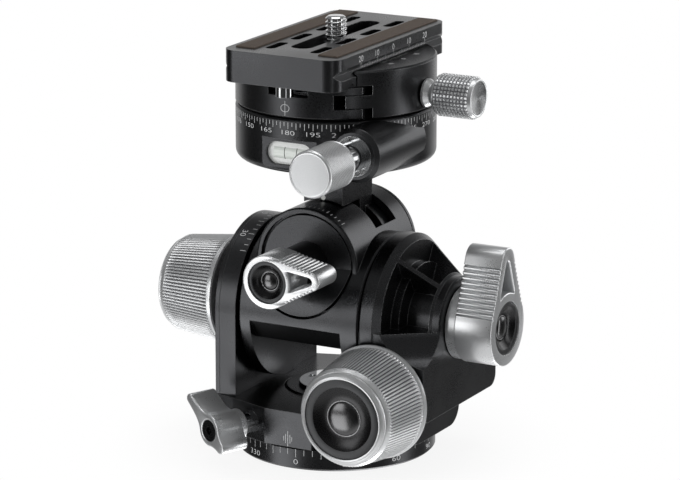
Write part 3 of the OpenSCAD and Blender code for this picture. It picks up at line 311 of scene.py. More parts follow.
def glass(name, tint, rough):
    p = Paint(name, tint, 0.0, rough, Transmission_Weight=1.0, IOR=1.45)
    fine = p.noise(300, 2, 0.5)
    p.color(p.mix(p.spread(fine, 0, 1), tint, darker(tint, 0.96)))
    p.bump(fine, 0.02, 0.02)
    return p.m


grip_rubber = rubber()
vial_white = plastic("vial_white", (0.90, 0.91, 0.88), (0.80, 0.82, 0.78), 0.35)
washer_plastic = plastic("washer_plastic", (0.22, 0.22, 0.22), (0.15, 0.15, 0.15), 0.5)
mark_black = plastic("mark_black", (0.02, 0.02, 0.02), (0.04, 0.04, 0.04), 0.5)
vial_bright = plastic("vial_bright", (0.93, 0.94, 0.93), (0.86, 0.88, 0.86), 0.2)
vial_clear = plastic("vial_clear", (0.86, 0.90, 0.86), (0.80, 0.85, 0.80), 0.12)
bubble_clear = glass("bubble_clear", (0.98, 0.99, 0.97), 0.01)

FINISH = {
    "black_anodised": black_anodised, "dial_black": dial_black, "dish_black": dish_black,
    "satin_silver": satin_silver, "knurled_silver": knurled_silver, "polished_steel": polished_steel,
    "steel": steel, "bronze": bronze, "grip_rubber": grip_rubber, "vial_clear": vial_clear,
    "vial_white": vial_white, "washer_plastic": washer_plastic,
}
SPECIAL = {
    "level_bubble": bubble_clear, "level_backing": vial_bright, "knob_a_cap": dome_black,
    "knob_b_cap": dome_black, "centre_nut": bright_chrome,
}
for part in frame["record"]["subparts"]:
    node = nodes[part["node"]]
    paint = SPECIAL.get(part["node"], FINISH[part["material_slot"]])
    if not node.data.materials:
        node.data.materials.append(paint)
    for i in range(len(node.material_slots)):
        node.material_slots[i].material = paint


# Meshes
def add(name, verts, faces, paint, body, place=None, stands_for=(), sharp=32):
    me = bpy.data.meshes.new(name)
    me.from_pydata([(x * MM, y * MM, z * MM) for x, y, z in verts], [], faces)
    me.validate()
    me.polygons.foreach_set("use_smooth", [True] * len(me.polygons))
    me.set_sharp_from_angle(angle=math.radians(sharp))
    me.update()
    me.materials.append(paint)
    o = bpy.data.objects.new(name, me)
    bpy.context.scene.collection.objects.link(o)
    if place is not None:
        o.matrix_world = place
    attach(o, body)
    if stands_for:
        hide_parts(*stands_for)
    return o


def rings(profile, angles, shift=None):
    """Rings of (radius, height) about z, closed where the radius is 0; shift(row, column) goes inwards."""
    verts, faces, rows = [], [], []
    for i, (r, z) in enumerate(profile):
        if r == 0:
            rows.append([len(verts)])
            verts.append((0, 0, z))
            continue
        rows.append(list(range(len(verts), len(verts) + len(angles))))
        for j, a in enumerate(angles):
            q = r - (shift(i, j) if shift else 0)
            verts.append((q * math.cos(a), q * math.sin(a), z))
    n = len(angles)
    for a, b in zip(rows, rows[1:]):
        for j in range(n):
            k = (j + 1) % n
            if len(a) == 1:
                faces.append((a[0], b[k], b[j]))
            elif len(b) == 1:
                faces.append((a[j], a[k], b[0]))
            else:
                faces.append((a[j], a[k], b[k], b[j]))
    return verts, faces


def even(n):
    return [TAU * i / n for i in range(n)]


def dents(profile, angles, shift):
    """How deep each vertex of rings() lies."""
    deep = []
    for i, (r, z) in enumerate(profile):
        deep += [0.0] if r == 0 else [shift(i, j) for j in range(len(angles))]
    return deep


def shade_dents(piece, deep, limit, paint):
    """The floor of a knurl, deeper than limit, in a second, dark material: painted shade in the knurl's
    valleys.
    """
    piece.data.materials.append(paint)
    for face in piece.data.polygons:
        if sum(deep[k] for k in face.vertices) / len(face.vertices) > limit:
            face.material_index = 1


def torus(ring_r, wire_r, z, n, m):
    """A wire of m sides bent to a ring of n."""
    around = [TAU * i / m for i in range(m + 1)]
    profile = [(ring_r + wire_r * math.cos(a), z + wire_r * math.sin(a)) for a in around]
    return rings(profile, even(n))


# Black insert of a knob or lever: flat ring, hollow, thin bright wire and dome
CAP_SHARE = 0.44


def insert(name, place, body, ring, size, ring_for, dome_for=()):
    sides, steps = size["sides"], size["steps"]
    cap_r, z = size["cap_r"], size["wire_z"]
    v, f = rings(ring, even(sides))
    add(name + "_ring", v, f, dish_ring, body, place, ring_for, 30)
    outer, lip = ring[-1]
    hollow = []
    for i in range(steps + 1):
        t = i / steps
        deep = size["deep"] * math.sin(t * math.pi / 2) ** size["power"]
        hollow.append((outer + (cap_r + size["play"] - outer) * t, lip - deep))
    v, f = rings(hollow, even(sides))
    add(name + "_hollow", v, f, dish_black, body, place, (), 40)
    v, f = torus(cap_r, size["wire_r"], z, size["dome_sides"], size["wire_sides"])
    add(name + "_wire", v, f, wire_silver, body, place, (), 60)
    dome = [(cap_r - 0.05, z - 0.3), (cap_r - 0.05, z)]
    for i in range(1, steps):
        a = i / steps * math.pi / 2
        dome.append(((cap_r - size["dome_in"]) * math.cos(a), z + size["rise"] * math.sin(a)))
    dome.append((0, z + size["rise"]))
    v, f = rings(dome, even(size["dome_sides"]))
    add(name + "_dome", v, f, dome_black, body, place, dome_for, 60)


# Two big knobs with straight knurls
RIDGES, RIDGE_DEPTH = 96, 0.42
RIDGE_WAVE = [(0.00, 0.0), (0.26, 0.0), (0.44, 0.62), (0.58, 1.0), (0.68, 1.0), (0.82, 0.62)]
RIDGE_SHADE = 0.62 * RIDGE_DEPTH
RIDGE_Z0, RIDGE_Z1, RIDGE_ROWS = 2.5, 17.6, 8
COLLAR_Z = 1.6


def knob_rows():
    """Radius, height and share of the knurl's depth, for each ring of a big knob."""
    rim = KNOB_R - 0.4
    slope = (rim - KNOB_END_R) / (KNOB_GRIP - COLLAR_Z)

    def grip(z, less=0.0):
        return rim - (z - COLLAR_Z) * slope - less

    rows = [(0, 0, 0), (rim, 0, 0), (KNOB_R, 0.4, 0), (KNOB_R, 1.15, 0), (KNOB_R - 0.35, 1.45, 0),
            (KNOB_R - 0.65, COLLAR_Z, 0), (KNOB_R - 0.65, 1.85, 0), (grip(1.95), 1.95, 0.25)]
    for i in range(RIDGE_ROWS + 1):
        z = RIDGE_Z0 + (RIDGE_Z1 - RIDGE_Z0) * i / RIDGE_ROWS
        rows.append((grip(z), z, 1))
    rows += [(grip(18.15), 18.15, 0.25), (grip(18.3, 0.1), 18.3, 0), (KNOB_END_R - 0.75, 19.35, 0),
             (KNOB_END_R - 1.05, 19.5, 0), (KNOB_END_R - 1.15, 19.8, 0), (KNOB_END_R - 1.15, 20.15, 0),
             (KNOB_FACE_R + 0.25, 20.45, 0), (KNOB_FACE_R - 0.1, 20.85, 0),
             (KNOB_FACE_R - 0.5, KNOB_TOP, 0), (DISH_R, KNOB_TOP - 0.1, 0),
             (DISH_R, KNOB_TOP - DISH_DEPTH, 0), (0, KNOB_TOP - DISH_DEPTH, 0)]
    return rows


def knurled_knob(name, place, body):
    rows = knob_rows()
    profile = [(r, z) for r, z, _ in rows]
    angles, wave = [], []
    for i in range(RIDGES):
        for f, d in RIDGE_WAVE:
            angles.append(TAU * (i + f) / RIDGES)
            wave.append(d)

    def shift(i, j):
        return RIDGE_DEPTH * rows[i][2] * wave[j]

    v, f = rings(profile, angles, shift)
    grip = add(name + "_grip", v, f, knurled_silver, body, place, (name,), 28)
    shade_dents(grip, dents(profile, angles, shift), RIDGE_SHADE, knurl_shade)
    floor_z, edge_r, flat_r = KNOB_TOP - DISH_DEPTH + 0.01, DISH_R - 0.05, 9.75
    ring = [(0, floor_z), (edge_r, floor_z), (edge_r, KNOB_TOP - 0.45), (DISH_R - 0.2, KNOB_TOP - 0.38),
            (flat_r, KNOB_TOP - 0.40), (flat_r - 0.2, KNOB_TOP - 0.44)]
    size = dict(cap_r=DISH_R * CAP_SHARE, play=0.1, deep=1.25, power=0.9, steps=12, sides=128, rise=1.05,
                dome_in=0.15, dome_sides=96, wire_z=KNOB_TOP - 1.66, wire_r=0.16, wire_sides=10)
    insert(name + "_insert", place, body, ring, size, (name + "_dish",), (name + "_cap",))


knurled_knob("knob_a", AT_KNOB_A, "side_tilt_knob")
knurled_knob("knob_b", AT_KNOB_B, "front_tilt_knob")


# Dished caps of the two levers
def lever_dish(name, place, body, node, r, top):
    ring = [(0, top - 2.99), (r, top - 2.99), (r, top - 0.5), (r - 0.15, top - 0.42),
            (r * 0.82, top - 0.44), (r * 0.80, top - 0.5)]
    size = dict(cap_r=r * CAP_SHARE, play=0.08, deep=1.6, power=1, steps=10, sides=96, rise=0.95,
                dome_in=0.12, dome_sides=72, wire_z=top - 2.05, wire_r=0.12, wire_sides=8)
    insert(name, place, body, ring, size, (node,))


lever_dish("lever_d_dish", AT_LEVER_D, "side_lever", "lever_d_cap", 8.0, LEVER_D_Z1)
lever_dish("lever_c_dish", AT_LEVER_C, "front_lever", "lever_c_cap", 6.33, LEVER_C_Z1)


# Plates with a rounded edge
ROUND_STEPS = 4
HOLE_SIDES = 96
TINY_AREA = 1e-9


def inset_loop(loop, edge):
    """The loop moved inwards by edge, along each point's normal."""
    out = []
    for i, (x, y) in enumerate(loop):
        (px, py), (qx, qy) = loop[i - 1], loop[(i + 1) % len(loop)]
        tx, ty = qx - px, qy - py
        size = math.hypot(tx, ty) or 1.0
        out.append((x - ty / size * edge, y + tx / size * edge))
    return out


def edge_levels(z0, z1, edge):
    """Height and inset share of each row, up the rounded lower edge and over the upper one."""
    rounds = [i * math.pi / 2 / (ROUND_STEPS - 1) for i in range(ROUND_STEPS)]
    lower = [(z0 + edge * (1 - math.cos(a)), 1 - math.sin(a)) for a in rounds]
    upper = [(z1 - edge + edge * math.sin(a), 1 - math.cos(a)) for a in rounds]
    return lower + upper


def signed_area(a, b, c):
    return (b[0] - a[0]) * (c[1] - a[1]) - (c[0] - a[0]) * (b[1] - a[1])


def prism(loops, z0, z1, edge, round_hole=None):
    """The first loop runs counter-clockwise, the others are holes and run clockwise.
    round_hole is the radius and depth of a blind hole about the origin, in the top."""
    verts, faces, tops, bottoms = [], [], [], []
    for loop in loops:
        inset, rows = inset_loop(loop, edge), []
        for z, move in edge_levels(z0, z1, edge):
            rows.append(list(range(len(verts), len(verts) + len(loop))))
            verts += [(x + (ix - x) * move, y + (iy - y) * move, z) for (x, y), (ix, iy) in zip(loop, inset)]
        for low, high in zip(rows, rows[1:]):
            for j in range(len(loop)):
                k = (j + 1) % len(loop)
                faces.append((low[j], low[k], high[k], high[j]))
        bottoms.append(rows[0])
        tops.append(rows[-1])
    if round_hole:
        r, depth = round_hole
        mouth, bottom = [], []
        for row, z in ((mouth, z1), (bottom, z1 - depth)):
            row += range(len(verts), len(verts) + HOLE_SIDES)
            verts += [(r * math.cos(-a), r * math.sin(-a), z) for a in even(HOLE_SIDES)]
        for j in range(HOLE_SIDES):
            k = (j + 1) % HOLE_SIDES
            faces.append((bottom[j], bottom[k], mouth[k], mouth[j]))
        faces.append(tuple(reversed(bottom)))
        tops.append(mouth)
    for side, up in ((tops, True), (bottoms, False)):
        flat = [i for row in side for i in row]
        outlines = [[Vector((verts[i][0], verts[i][1], 0)) for i in row] for row in side]
        for tri in tessellate_polygon(outlines):
            a, b, c = (flat[i] for i in tri)
            area = signed_area(verts[a], verts[b], verts[c])
            if abs(area) > TINY_AREA:
                faces.append((a, b, c) if (area > 0) == up else (a, c, b))
    return verts, faces


def arc(cx, cy, r, start, end, n):
    """Points on a circle between two angles in degrees."""
    angles = [math.radians(start + (end - start) * i / n) for i in range(n + 1)]
    return [(cx + r * math.cos(a), cy + r * math.sin(a)) for a in angles]


def soften(loop, rounds, spacing=0.22):
    """Evenly spaced points of a closed loop, with its corners rounded off."""
    walk = [0.0]
    for a, b in zip(loop, loop[1:] + loop[:1]):
        walk.append(walk[-1] + math.hypot(b[0] - a[0], b[1] - a[1]))
    n = int(walk[-1] / spacing)
    out, k = [], 0
    for i in range(n):
        d = walk[-1] * i / n
        while walk[k + 1] < d:
            k += 1
        a, b = loop[k], loop[(k + 1) % len(loop)]
        t = (d - walk[k]) / ((walk[k + 1] - walk[k]) or 1)
        out.append((a[0] + (b[0] - a[0]) * t, a[1] + (b[1] - a[1]) * t))
    for _ in range(rounds):
        out = [((out[i - 1][0] + 2 * out[i][0] + out[(i + 1) % n][0]) / 4,
                (out[i - 1][1] + 2 * out[i][1] + out[(i + 1) % n][1]) / 4) for i in range(n)]
    return out


# Levers: two circles joined by straight flanks, with rounded ridges on both flanks
RIDGE_POINTS = 10
RIDGE_EASE = 0.12


def lever_loop(r, tip, reach, start, pitch, count, depth):
    a = math.acos((r - tip) / reach)
    flank = [(start - RIDGE_EASE, 0.0)]
    for i in range(count):
        for k in range(RIDGE_POINTS):
            f = k / RIDGE_POINTS
            flank.append((start + pitch * (i + f), depth * (1 - math.sin(math.pi * f) ** 0.5)))
    flank += [(start + pitch * count, depth), (start + pitch * count + RIDGE_EASE, 0.0)]
    ux, uy = math.sin(a), math.cos(a)

    def on_flank(t, d, side):
        return (r * uy + t * ux - d * uy, side * (r * ux - t * uy - d * ux))

    deg = math.degrees(a)
    loop = arc(0, 0, r, deg, 360 - deg, 72)
    loop += [on_flank(t, d, -1) for t, d in flank]
    loop += arc(reach, 0, tip, -deg, deg, 40)
    loop += [on_flank(t, d, 1) for t, d in reversed(flank)]
    return loop


def lever_window(base_r, base_deg, tip_x, tip_r, rounds):
    loop = arc(tip_x, 0, tip_r, -75, 75, 12) + arc(0, 0, base_r, base_deg, -base_deg, 16)
    return list(reversed(soften(loop, rounds)))


def lever(name, body, place, outline, window, z0, z1, edge, cap_seat):
    v, f = prism([outline, window], z0, z1, edge, cap_seat)
    add(name + "_body", v, f, satin_silver, body, place, (name,), 32)


lever("lever_d", "side_lever", AT_LEVER_D,
      lever_loop(r=11.3, tip=4.4, reach=19.9, start=1.1, pitch=1.5, count=10, depth=0.8),
      lever_window(base_r=10.6, base_deg=27, tip_x=19.2, tip_r=1.2, rounds=10),
      LEVER_D_Z0, LEVER_D_Z1, 0.4, (8.02, 2.95))
lever("lever_c", "front_lever", AT_LEVER_C @ turn("Z", 8),
      lever_loop(r=8.0, tip=2.9, reach=14.4, start=2.5, pitch=1.3, count=8, depth=0.72),
      lever_window(base_r=7.6, base_deg=24, tip_x=13.7, tip_r=1.2, rounds=6),
      LEVER_C_Z0, LEVER_C_Z1, 0.35, (6.35, 2.95))


# Wing knob: a round hub that flows into two thin wings
def wing_knob():
    hub_r, hub_half, wing_half, fade = 4.8, 3.0, 1.45, 2.3
    long, short, lean, bore = 12.3, 6.5, 142, 3.3

    def half(u):
        """Half the width of the outline, u along the wings."""
        u = abs(u)
        if u < hub_half:
            return math.sqrt(hub_r ** 2 - u * u)
        shoulder = math.sqrt(hub_r ** 2 - hub_half ** 2)
        return wing_half + (shoulder - wing_half) * math.exp(-(u - hub_half) / fade)

    step = 0.25
    upper = [(i * step - short, half(i * step - short)) for i in range(int((long + short) / step) + 1)]
    loop = [(u, -w) for u, w in upper] + arc(long, 0, half(long), -88, 88, 16)
    loop += [(u, w) for u, w in reversed(upper)] + arc(-short, 0, half(short), 92, 268, 16)
    hole = list(reversed(arc(0, 0, bore, 0, 352.5, 47)))
    place = wing_frame(30.9 + 5.4)
    v, f = prism([loop, hole], 2.0, 11.2, 0.45)
    add("wing_knob_wings", v, f, satin_silver, "wing_lock", place @ turn("Z", lean), ("wing_knob",),
        32)
    v, f = rings([(bore, 11.1), (4.3, 11.1), (4.78, 10.7), (4.78, 0.5), (4.3, 0.0), (bore, 0.0)], even(96))
    f = [tuple(reversed(q)) for q in f]
    add("wing_knob_hub", v, f, satin_silver, "wing_lock", place, (), 32)


wing_knob()


# Clamp knob with square studs
def clamp_knob():
    r, length, nose_r, nose = 6.3, 12.0, 5.45, 0.8
    place = on_clamp(30.05 + 4.2)
    columns, studs, depth = 34, 10, 0.38
    wave = [(0.0, 1.0), (0.26, 1.0), (0.38, 0.0), (0.88, 0.0)]
    angles, across = [], []
    for i in range(columns):
        for f, d in wave:
            angles.append(TAU * (i + f) / columns)
            across.append(d)
    profile, along = [(0, 0), (r - 0.5, 0), (r - 0.4, 0.35)], [0, 0, 0]
    first = len(profile)
    z0, z1, top = 0.5, length - 0.35, length + nose
    for i in range(studs):
        for f, d in wave:
            profile.append((r, z0 + (z1 - z0) * (i + f) / studs))
            along.append(d)
    last = len(profile)
    profile += [(r, z1), (r - 0.4, z1 + 0.05), (r - 0.45, length + 0.05), (nose_r + 0.1, top - 0.08),
                (nose_r - 0.15, top), (nose_r - 0.45, top - 0.12)]
    along += [1, 0, 0, 0, 0, 0]

    def shift(i, j):
        return depth * max(across[j], along[i]) if first <= i <= last else 0

    v, f = rings(profile, angles, shift)
    grip = add("clamp_knob_grip", v, f, knurled_silver, "clamp_knob", place, ("clamp_knob",),
               24)
    shade_dents(grip, dents(profile, angles, shift), 0.9 * depth, knurl_shade)
    v, f = rings([(nose_r - 0.42, top - 0.12), (nose_r - 0.6, top - 0.16), (0, top - 0.16)], even(96))
    add("clamp_knob_face", v, f, turned_silver, "clamp_knob", place, (), 30)


clamp_knob()


# Lock knob with a diamond knurl
def lock_knob():
    r, length, edge = 6.9, 15.0, 0.6
    place = at_lock(31 + 11)
    count, depth, pitch = 56, 0.32, 0.80
    columns = count * 4
    z0, z1 = 0.7, length - 0.9
    steps = int((z1 - z0) / pitch * 4)
    profile = [(0, 0), (r - edge, 0), (r - 0.1, 0.55)]
    first, last = len(profile), len(profile) + steps
    profile += [(r, z0 + (z1 - z0) * i / steps) for i in range(steps + 1)]
    profile += [(r - 0.12, z1 + 0.12), (r - 0.14, length - 0.5), (r - 0.30, length - 0.22),
                (r - 0.62, length - 0.02), (r - 0.75, length), (r - 0.95, length - 0.06)]

    def zigzag(t):
        return abs(2 * (t - math.floor(t)) - 1)

    def shift(i, j):
        if not first <= i <= last:
            return 0
        z = profile[i][1] / pitch
        a = count * j / columns
        cut = max(zigzag(a + z), zigzag(a - z))
        return depth * cut * min(1.0, (i - first) / 2, (last - i) / 2)

    v, f = rings(profile, even(columns), shift)
    grip = add("lock_knob_grip", v, f, knurled_silver, "top_lock", place, ("lock_knob",),
               50)
    shade_dents(grip, dents(profile, even(columns), shift), 0.66 * depth, knurl_shade)
    v, f = rings([(r - 0.93, length - 0.06), (r - 1.2, length - 0.04), (0, length - 0.02)], even(96))
    add("lock_knob_face", v, f, face_silver, "top_lock", place, (), 30)


lock_knob()


# Camera screw with its thread
def camera_screw():
    z0, top = PLATE_Z0 + 0.4, 131.0
    r, root, pitch, columns = 3.175, 2.60, 1.27, 48
    tip = 0.9
    v, f = rings([(0, z0 + 1.0), (3.0, z0 + 1.0), (3.1, z0), (6.7, z0), (7.0, z0 + 0.3),
                  (7.0, z0 + 2.0), (6.7, z0 + 2.3), (0, z0 + 2.3)], even(72))
    add("camera_screw_head", v, f, steel, "camera_screw", None, ("camera_screw",), 30)
    z1 = z0 + 2.2
    steps = int((top - z1) / pitch * 10)
    profile = [(r, z1 + (top - 0.05 - z1) * i / steps) for i in range(steps + 1)]
    profile = [(0, z1)] + profile + [(0, top)]

    def shift(i, j):
        z = profile[i][1]
        t = (z / pitch - j / columns) % 1.0
        groove = min(1.0, max(0.0, 1.7 * (1 - abs(2 * t - 1)) - 0.25))
        end = max(0.0, (z - (top - tip)) / tip)
        return (r - root) * max(groove, end ** 1.5 * 1.6)

    v, f = rings(profile, even(columns), shift)
    add("camera_screw_thread", v, f, bright_chrome, "camera_screw", None, (), 45)


camera_screw()


# Ribbed grip strips
def grip_strip(name, x0, x1):
    y0, y1, ease, ribs, rows_n = -30.0, 33.0, 0.35, 10, 40
    foot, shoulder, crest, groove = PLATE_Z1 - 1.0, PLATE_Z1 + 0.32, PLATE_Z1 + 0.48, PLATE_Z1 + 0.22
    w = (x1 - x0) / ribs
    section = [(x0, foot), (x0, shoulder)]
    for i in range(ribs):
        a = x0 + (x1 - x0) * i / ribs
        section += [(a + 0.18 * w, crest), (a + 0.72 * w, crest), (a + 0.86 * w, groove)]
    section += [(x1, shoulder), (x1, foot)]
    rows = [y0, y0 + ease]
    rows += [y0 + ease + (y1 - y0 - 2 * ease) * i / rows_n for i in range(1, rows_n)] + [y1 - ease, y1]
    verts, faces = [], []
    for k, y in enumerate(rows):
        drop = 0.22 if k in (0, len(rows) - 1) else (0.0 if k % 2 else 0.05)
        verts += [(x, y, z - (drop if z > PLATE_Z1 else 0)) for x, z in section]
    n = len(section)
    for k in range(len(rows) - 1):
        for i in range(n - 1):
            faces.append((k * n + i + 1, (k + 1) * n + i + 1, (k + 1) * n + i, k * n + i))
    faces.append(tuple(range(n)))
    faces.append(tuple((len(rows) - 1) * n + i for i in reversed(range(n))))
    add("grip_strip_" + name, verts, faces, grip_rubber, "plate", None, ("grip_strips",), 30)


grip_strip("left", -16.7, -10.4)
grip_strip("right", 10.4, 16.7)

# Scales and marks: flat shapes, laid a little above the surface
LIFT = 0.022
STROKE = 0.14
FINE_STROKE = 0.13


def glyphs(text, height, wide):
    """The outline of some digits as flat faces, centred, in millimetres."""
    cu = bpy.data.curves.new("glyph", "FONT")
    cu.body, cu.size, cu.align_x, cu.align_y = text, 1.0, "CENTER", "CENTER"
    cu.resolution_u, cu.offset = 5, -0.012
    o = bpy.data.objects.new("glyph", cu)
    bpy.context.scene.collection.objects.link(o)
    me = bpy.data.meshes.new_from_object(o.evaluated_get(bpy.context.evaluated_depsgraph_get()))
    pts = [(v.co.x, v.co.y) for v in me.vertices]
    faces = [tuple(p.vertices) for p in me.polygons]
    bpy.data.objects.remove(o)
    bpy.data.curves.remove(cu)
    bpy.data.meshes.remove(me)
    lo, hi = min(y for _, y in pts), max(y for _, y in pts)
    left, right = min(x for x, _ in pts), max(x for x, _ in pts)
    s = height / (hi - lo)
    return [((x - (left + right) / 2) * s * wide, (y - (lo + hi) / 2) * s) for x, y in pts], faces


# Numbers that are already drawn, by text and size
GLYPH = {}


def number(text, height, wide=1.12):
    key = (text, height, wide)
    if key not in GLYPH:
        GLYPH[key] = glyphs(text, height, wide)
    return GLYPH[key]


def bar(u, v, w, h):
    """An upright stroke, centred on u, from v up."""
    return [(u - w / 2, v), (u + w / 2, v), (u + w / 2, v + h), (u - w / 2, v + h)], [(0, 1, 2, 3)]


def oval(u, v, rx, ry, wire, n=40):
    pts = []
    for a in even(n):
        for less in (wire, 0):
            pts.append((u + (rx - less) * math.cos(a), v + (ry - less) * math.sin(a)))
    return pts, [(2 * i, 2 * i + 1, (2 * i + 3) % (2 * n), (2 * i + 2) % (2 * n)) for i in range(n)]


def disc(u, v, r, n=28):
    return [(u + r * math.cos(a), v + r * math.sin(a)) for a in even(n)], [tuple(range(n))]


def moved(shape, u, v):
    pts, faces = shape
    return [(x + u, y + v) for x, y in pts], faces


def marks(name, shapes, onto, body, paint=scale_white):
    verts, faces = [], []
    for pts, fs in shapes:
        k = len(verts)
        verts += [onto(u, v) for u, v in pts]
        faces += [tuple(i + k for i in f) for f in fs]
    add(name, verts, faces, paint, body, None, (), 60)


def on_drum(r, zero):
    """Onto a drum about z; u runs to the right as seen from outside, from the zero angle."""
    def onto(u, v):
        a = math.radians(zero) + u / r
        return ((r + LIFT) * math.cos(a), (r + LIFT) * math.sin(a), v)

    return onto


# Base dial, 0 to 360 degrees
def base_scale():
    shapes, per_degree, top = [], BASE_R * math.radians(1), 6.2
    for deg in range(0, 360, 5):
        tall = 2.45 if deg % 15 == 0 else 1.85
        shapes.append(bar(deg * per_degree, top - tall, STROKE, tall))
        if deg % 30 == 0:
            shapes.append(moved(number(str(deg), 1.5, 1.5), deg * per_degree, 2.35))
    marks("base_scale", shapes, on_drum(BASE_R, -85.0), "base")


# Top dial, a number every 15 degrees
def top_scale():
    shapes, per_degree = [], DIAL_R * math.radians(1)
    for step in range(144):
        u = step * 2.5 * per_degree
        tall = 1.15 if step % 2 else 1.95
        shapes.append(bar(u, DIAL_Z1 - 0.8 - tall, 0.15, tall))
        if step % 6 == 0:
            shapes.append(moved(number(str(int(step * 2.5)), 1.3, 1.75), u, DIAL_Z1 - 3.85))
    marks("top_scale", shapes, on_drum(DIAL_R, -269.3), "rotor")


def index_marks():
    shapes = [bar(0.6, 7.1, 0.16, 4.7), bar(-0.15, 8.1, 0.16, 2.7), bar(1.35, 8.1, 0.16, 2.7),
              bar(-0.75, 8.7, FINE_STROKE, 1.5), bar(1.95, 8.7, FINE_STROKE, 1.5)]
    marks("slab_index", shapes, lambda u, v: (u, -SLAB_FRONT - LIFT, v), "yoke")
    marks("stem_index", [disc(0, 77.7, 0.8)], lambda u, v: (u, -STEM_FRONT - LIFT, v), "rotor", vial_white)
    shapes = [bar(0, -2.2, FINE_STROKE, 4.3), oval(0, 0, 1.45, 1.15, 0.15)]
    marks("clamp_index", [moved(s, 0, 108.8) for s in shapes], on_drum(DIAL_R, -91.2), "clamp")


# Graduated top of the left upright
def upright_scale():
    shapes = []
    for deg in range(-45, 50, 5):
        u = deg * UPRIGHT_R * math.radians(1)
        low = 0.0 if deg % 15 == 0 else 0.5
        shapes.append(bar(u, low, STROKE, 1.9 - low))
        if deg in (-30, 0, 30):
            shapes.append(moved(number(str(abs(deg)), 1.8), u, -1.6))

    def onto(u, v):
        a, q = u / UPRIGHT_R, UPRIGHT_R + LIFT
        return (UPRIGHT_X + v, -q * math.sin(a), TILT_Z + q * math.cos(a))

    marks("upright_scale", shapes, onto, "yoke")


# Graduated top of the barrel
def barrel_scale():
    shapes = []
    for k in range(-8, 9):
        shapes.append(bar(k * BARREL_R * math.radians(5), 0.0, 0.15, 1.3 if k % 4 else 1.9))

    def onto(u, v):
        a, q = u / BARREL_R, BARREL_R + LIFT
        return (q * math.sin(a), BARREL_FRONT + v, ROLL_Z + q * math.cos(a))

    marks("barrel_scale", shapes, onto, "cradle")


# Side of the plate, 20 to 20 mm
def plate_scale():
    shapes = []
    for k in range(-20, 21):
        tall = 1.7 if k % 10 == 0 else (1.2 if k % 5 == 0 else 0.8)
        shapes.append(bar(k, 120.75, 0.15, tall))
        if k % 10 == 0:
            shapes.append(moved(number(str(abs(k)), 1.7, 1.15), k, 123.5))
    marks("plate_scale", shapes, lambda u, v: (PLATE_HW + LIFT, u, v), "plate")


# Top of the jaw
def jaw_scale():
    shapes, step = [], 0.8
    for k in range(-10, 11):
        shapes.append(bar(k * step, -19.9, 0.10, 0.7 if k % 5 else 1.1))
    for k, text in ((-8, "10"), (0, "0"), (8, "10")):
        shapes.append(moved(number(text, 1.4), k, -22.4))
    marks("jaw_scale", shapes, lambda u, v: (-v, u, LIP_Z1 + LIFT), "jaw")


base_scale()
top_scale()
index_marks()
upright_scale()
barrel_scale()
plate_scale()
jaw_scale()


# Level: bright window, and two black lines round the vial
def level():
    loop = arc(VIAL_HL, 0, WINDOW_R, -90, 90, 40) + arc(-VIAL_HL, 0, WINDOW_R, 90, 270, 40)
    v, f = prism([loop], 25.0, 27.2, 0.1)
    add("level_window", v, f, vial_bright, "rotor", at(0, 0, LEVEL_Z) @ turn("X", 90), (), 40)
    for side, name in ((-1, "left"), (1, "right")):
        v, f = torus(VIAL_R + 0.01, 0.09, 0, 64, 8)
        place = at(side * 2.0, VIAL_GAP + VIAL_R - LEVEL_FLAT, LEVEL_Z) @ turn("Y", 90)
        add("level_line_" + name, v, f, mark_black, "rotor", place, (), 60)


level()

# Stage, lights and camera
WHITE, FLOOR_LIT, WORLD_LIT = 1.0, 0.45, 0.8
FLOOR_HALF, FLOOR_DROP = 6.0, 0.00002
TO_BACKDROP = (-0.46, 0.85, -0.25)


def fresh_tree(owner):
    owner.use_nodes = True
    owner.node_tree.nodes.clear()
    return owner.node_tree


def operation(tree, kind, a, b):
    n = tree.nodes.new("ShaderNodeMath")
    n.operation = kind
    tree.links.new(a, n.inputs[0])
    tree.links.new(b, n.inputs[1])
    return n.outputs[0]


def blend(tree, factor, a, b):
    """Shader a where the factor is 0, b where it is 1."""
    n = tree.nodes.new("ShaderNodeMixShader")
    for i, socket in enumerate((factor, a, b)):
        tree.links.new(socket, n.inputs[i])
    return n.outputs[0]


def ramp(tree, source, low, high, first, second):
    """Smoothly from first to second while source goes from low to high."""
    n = tree.nodes.new("ShaderNodeMapRange")
    n.interpolation_type = "SMOOTHSTEP"
    for key, value in (("From Min", low), ("From Max", high), ("To Min", first), ("To Max", second)):
        n.inputs[key].default_value = value
    tree.links.new(source, n.inputs["Value"])
    return n.outputs["Result"]


def strength(tree, rays, seen, mirrored, lit):
    """Light level of the background, for camera and glass, in metal, and as light on the object."""
    direct = operation(tree, "MAXIMUM", rays["Is Camera Ray"], rays["Is Transmission Ray"])
    first = tree.nodes.new("ShaderNodeMixRGB")
    tree.links.new(rays["Is Glossy Ray"], first.inputs[0])
    second = tree.nodes.new("ShaderNodeMixRGB")
    tree.links.new(direct, second.inputs[0])
    tree.links.new(first.outputs[0], second.inputs[1])
    for n, i, value in ((first, 1, lit), (first, 2, mirrored), (second, 2, seen)):
        if isinstance(value, float):
            n.inputs[i].default_value = (value, value, value, 1)
        else:
            tree.links.new(value, n.inputs[i])
    return second.outputs[0]


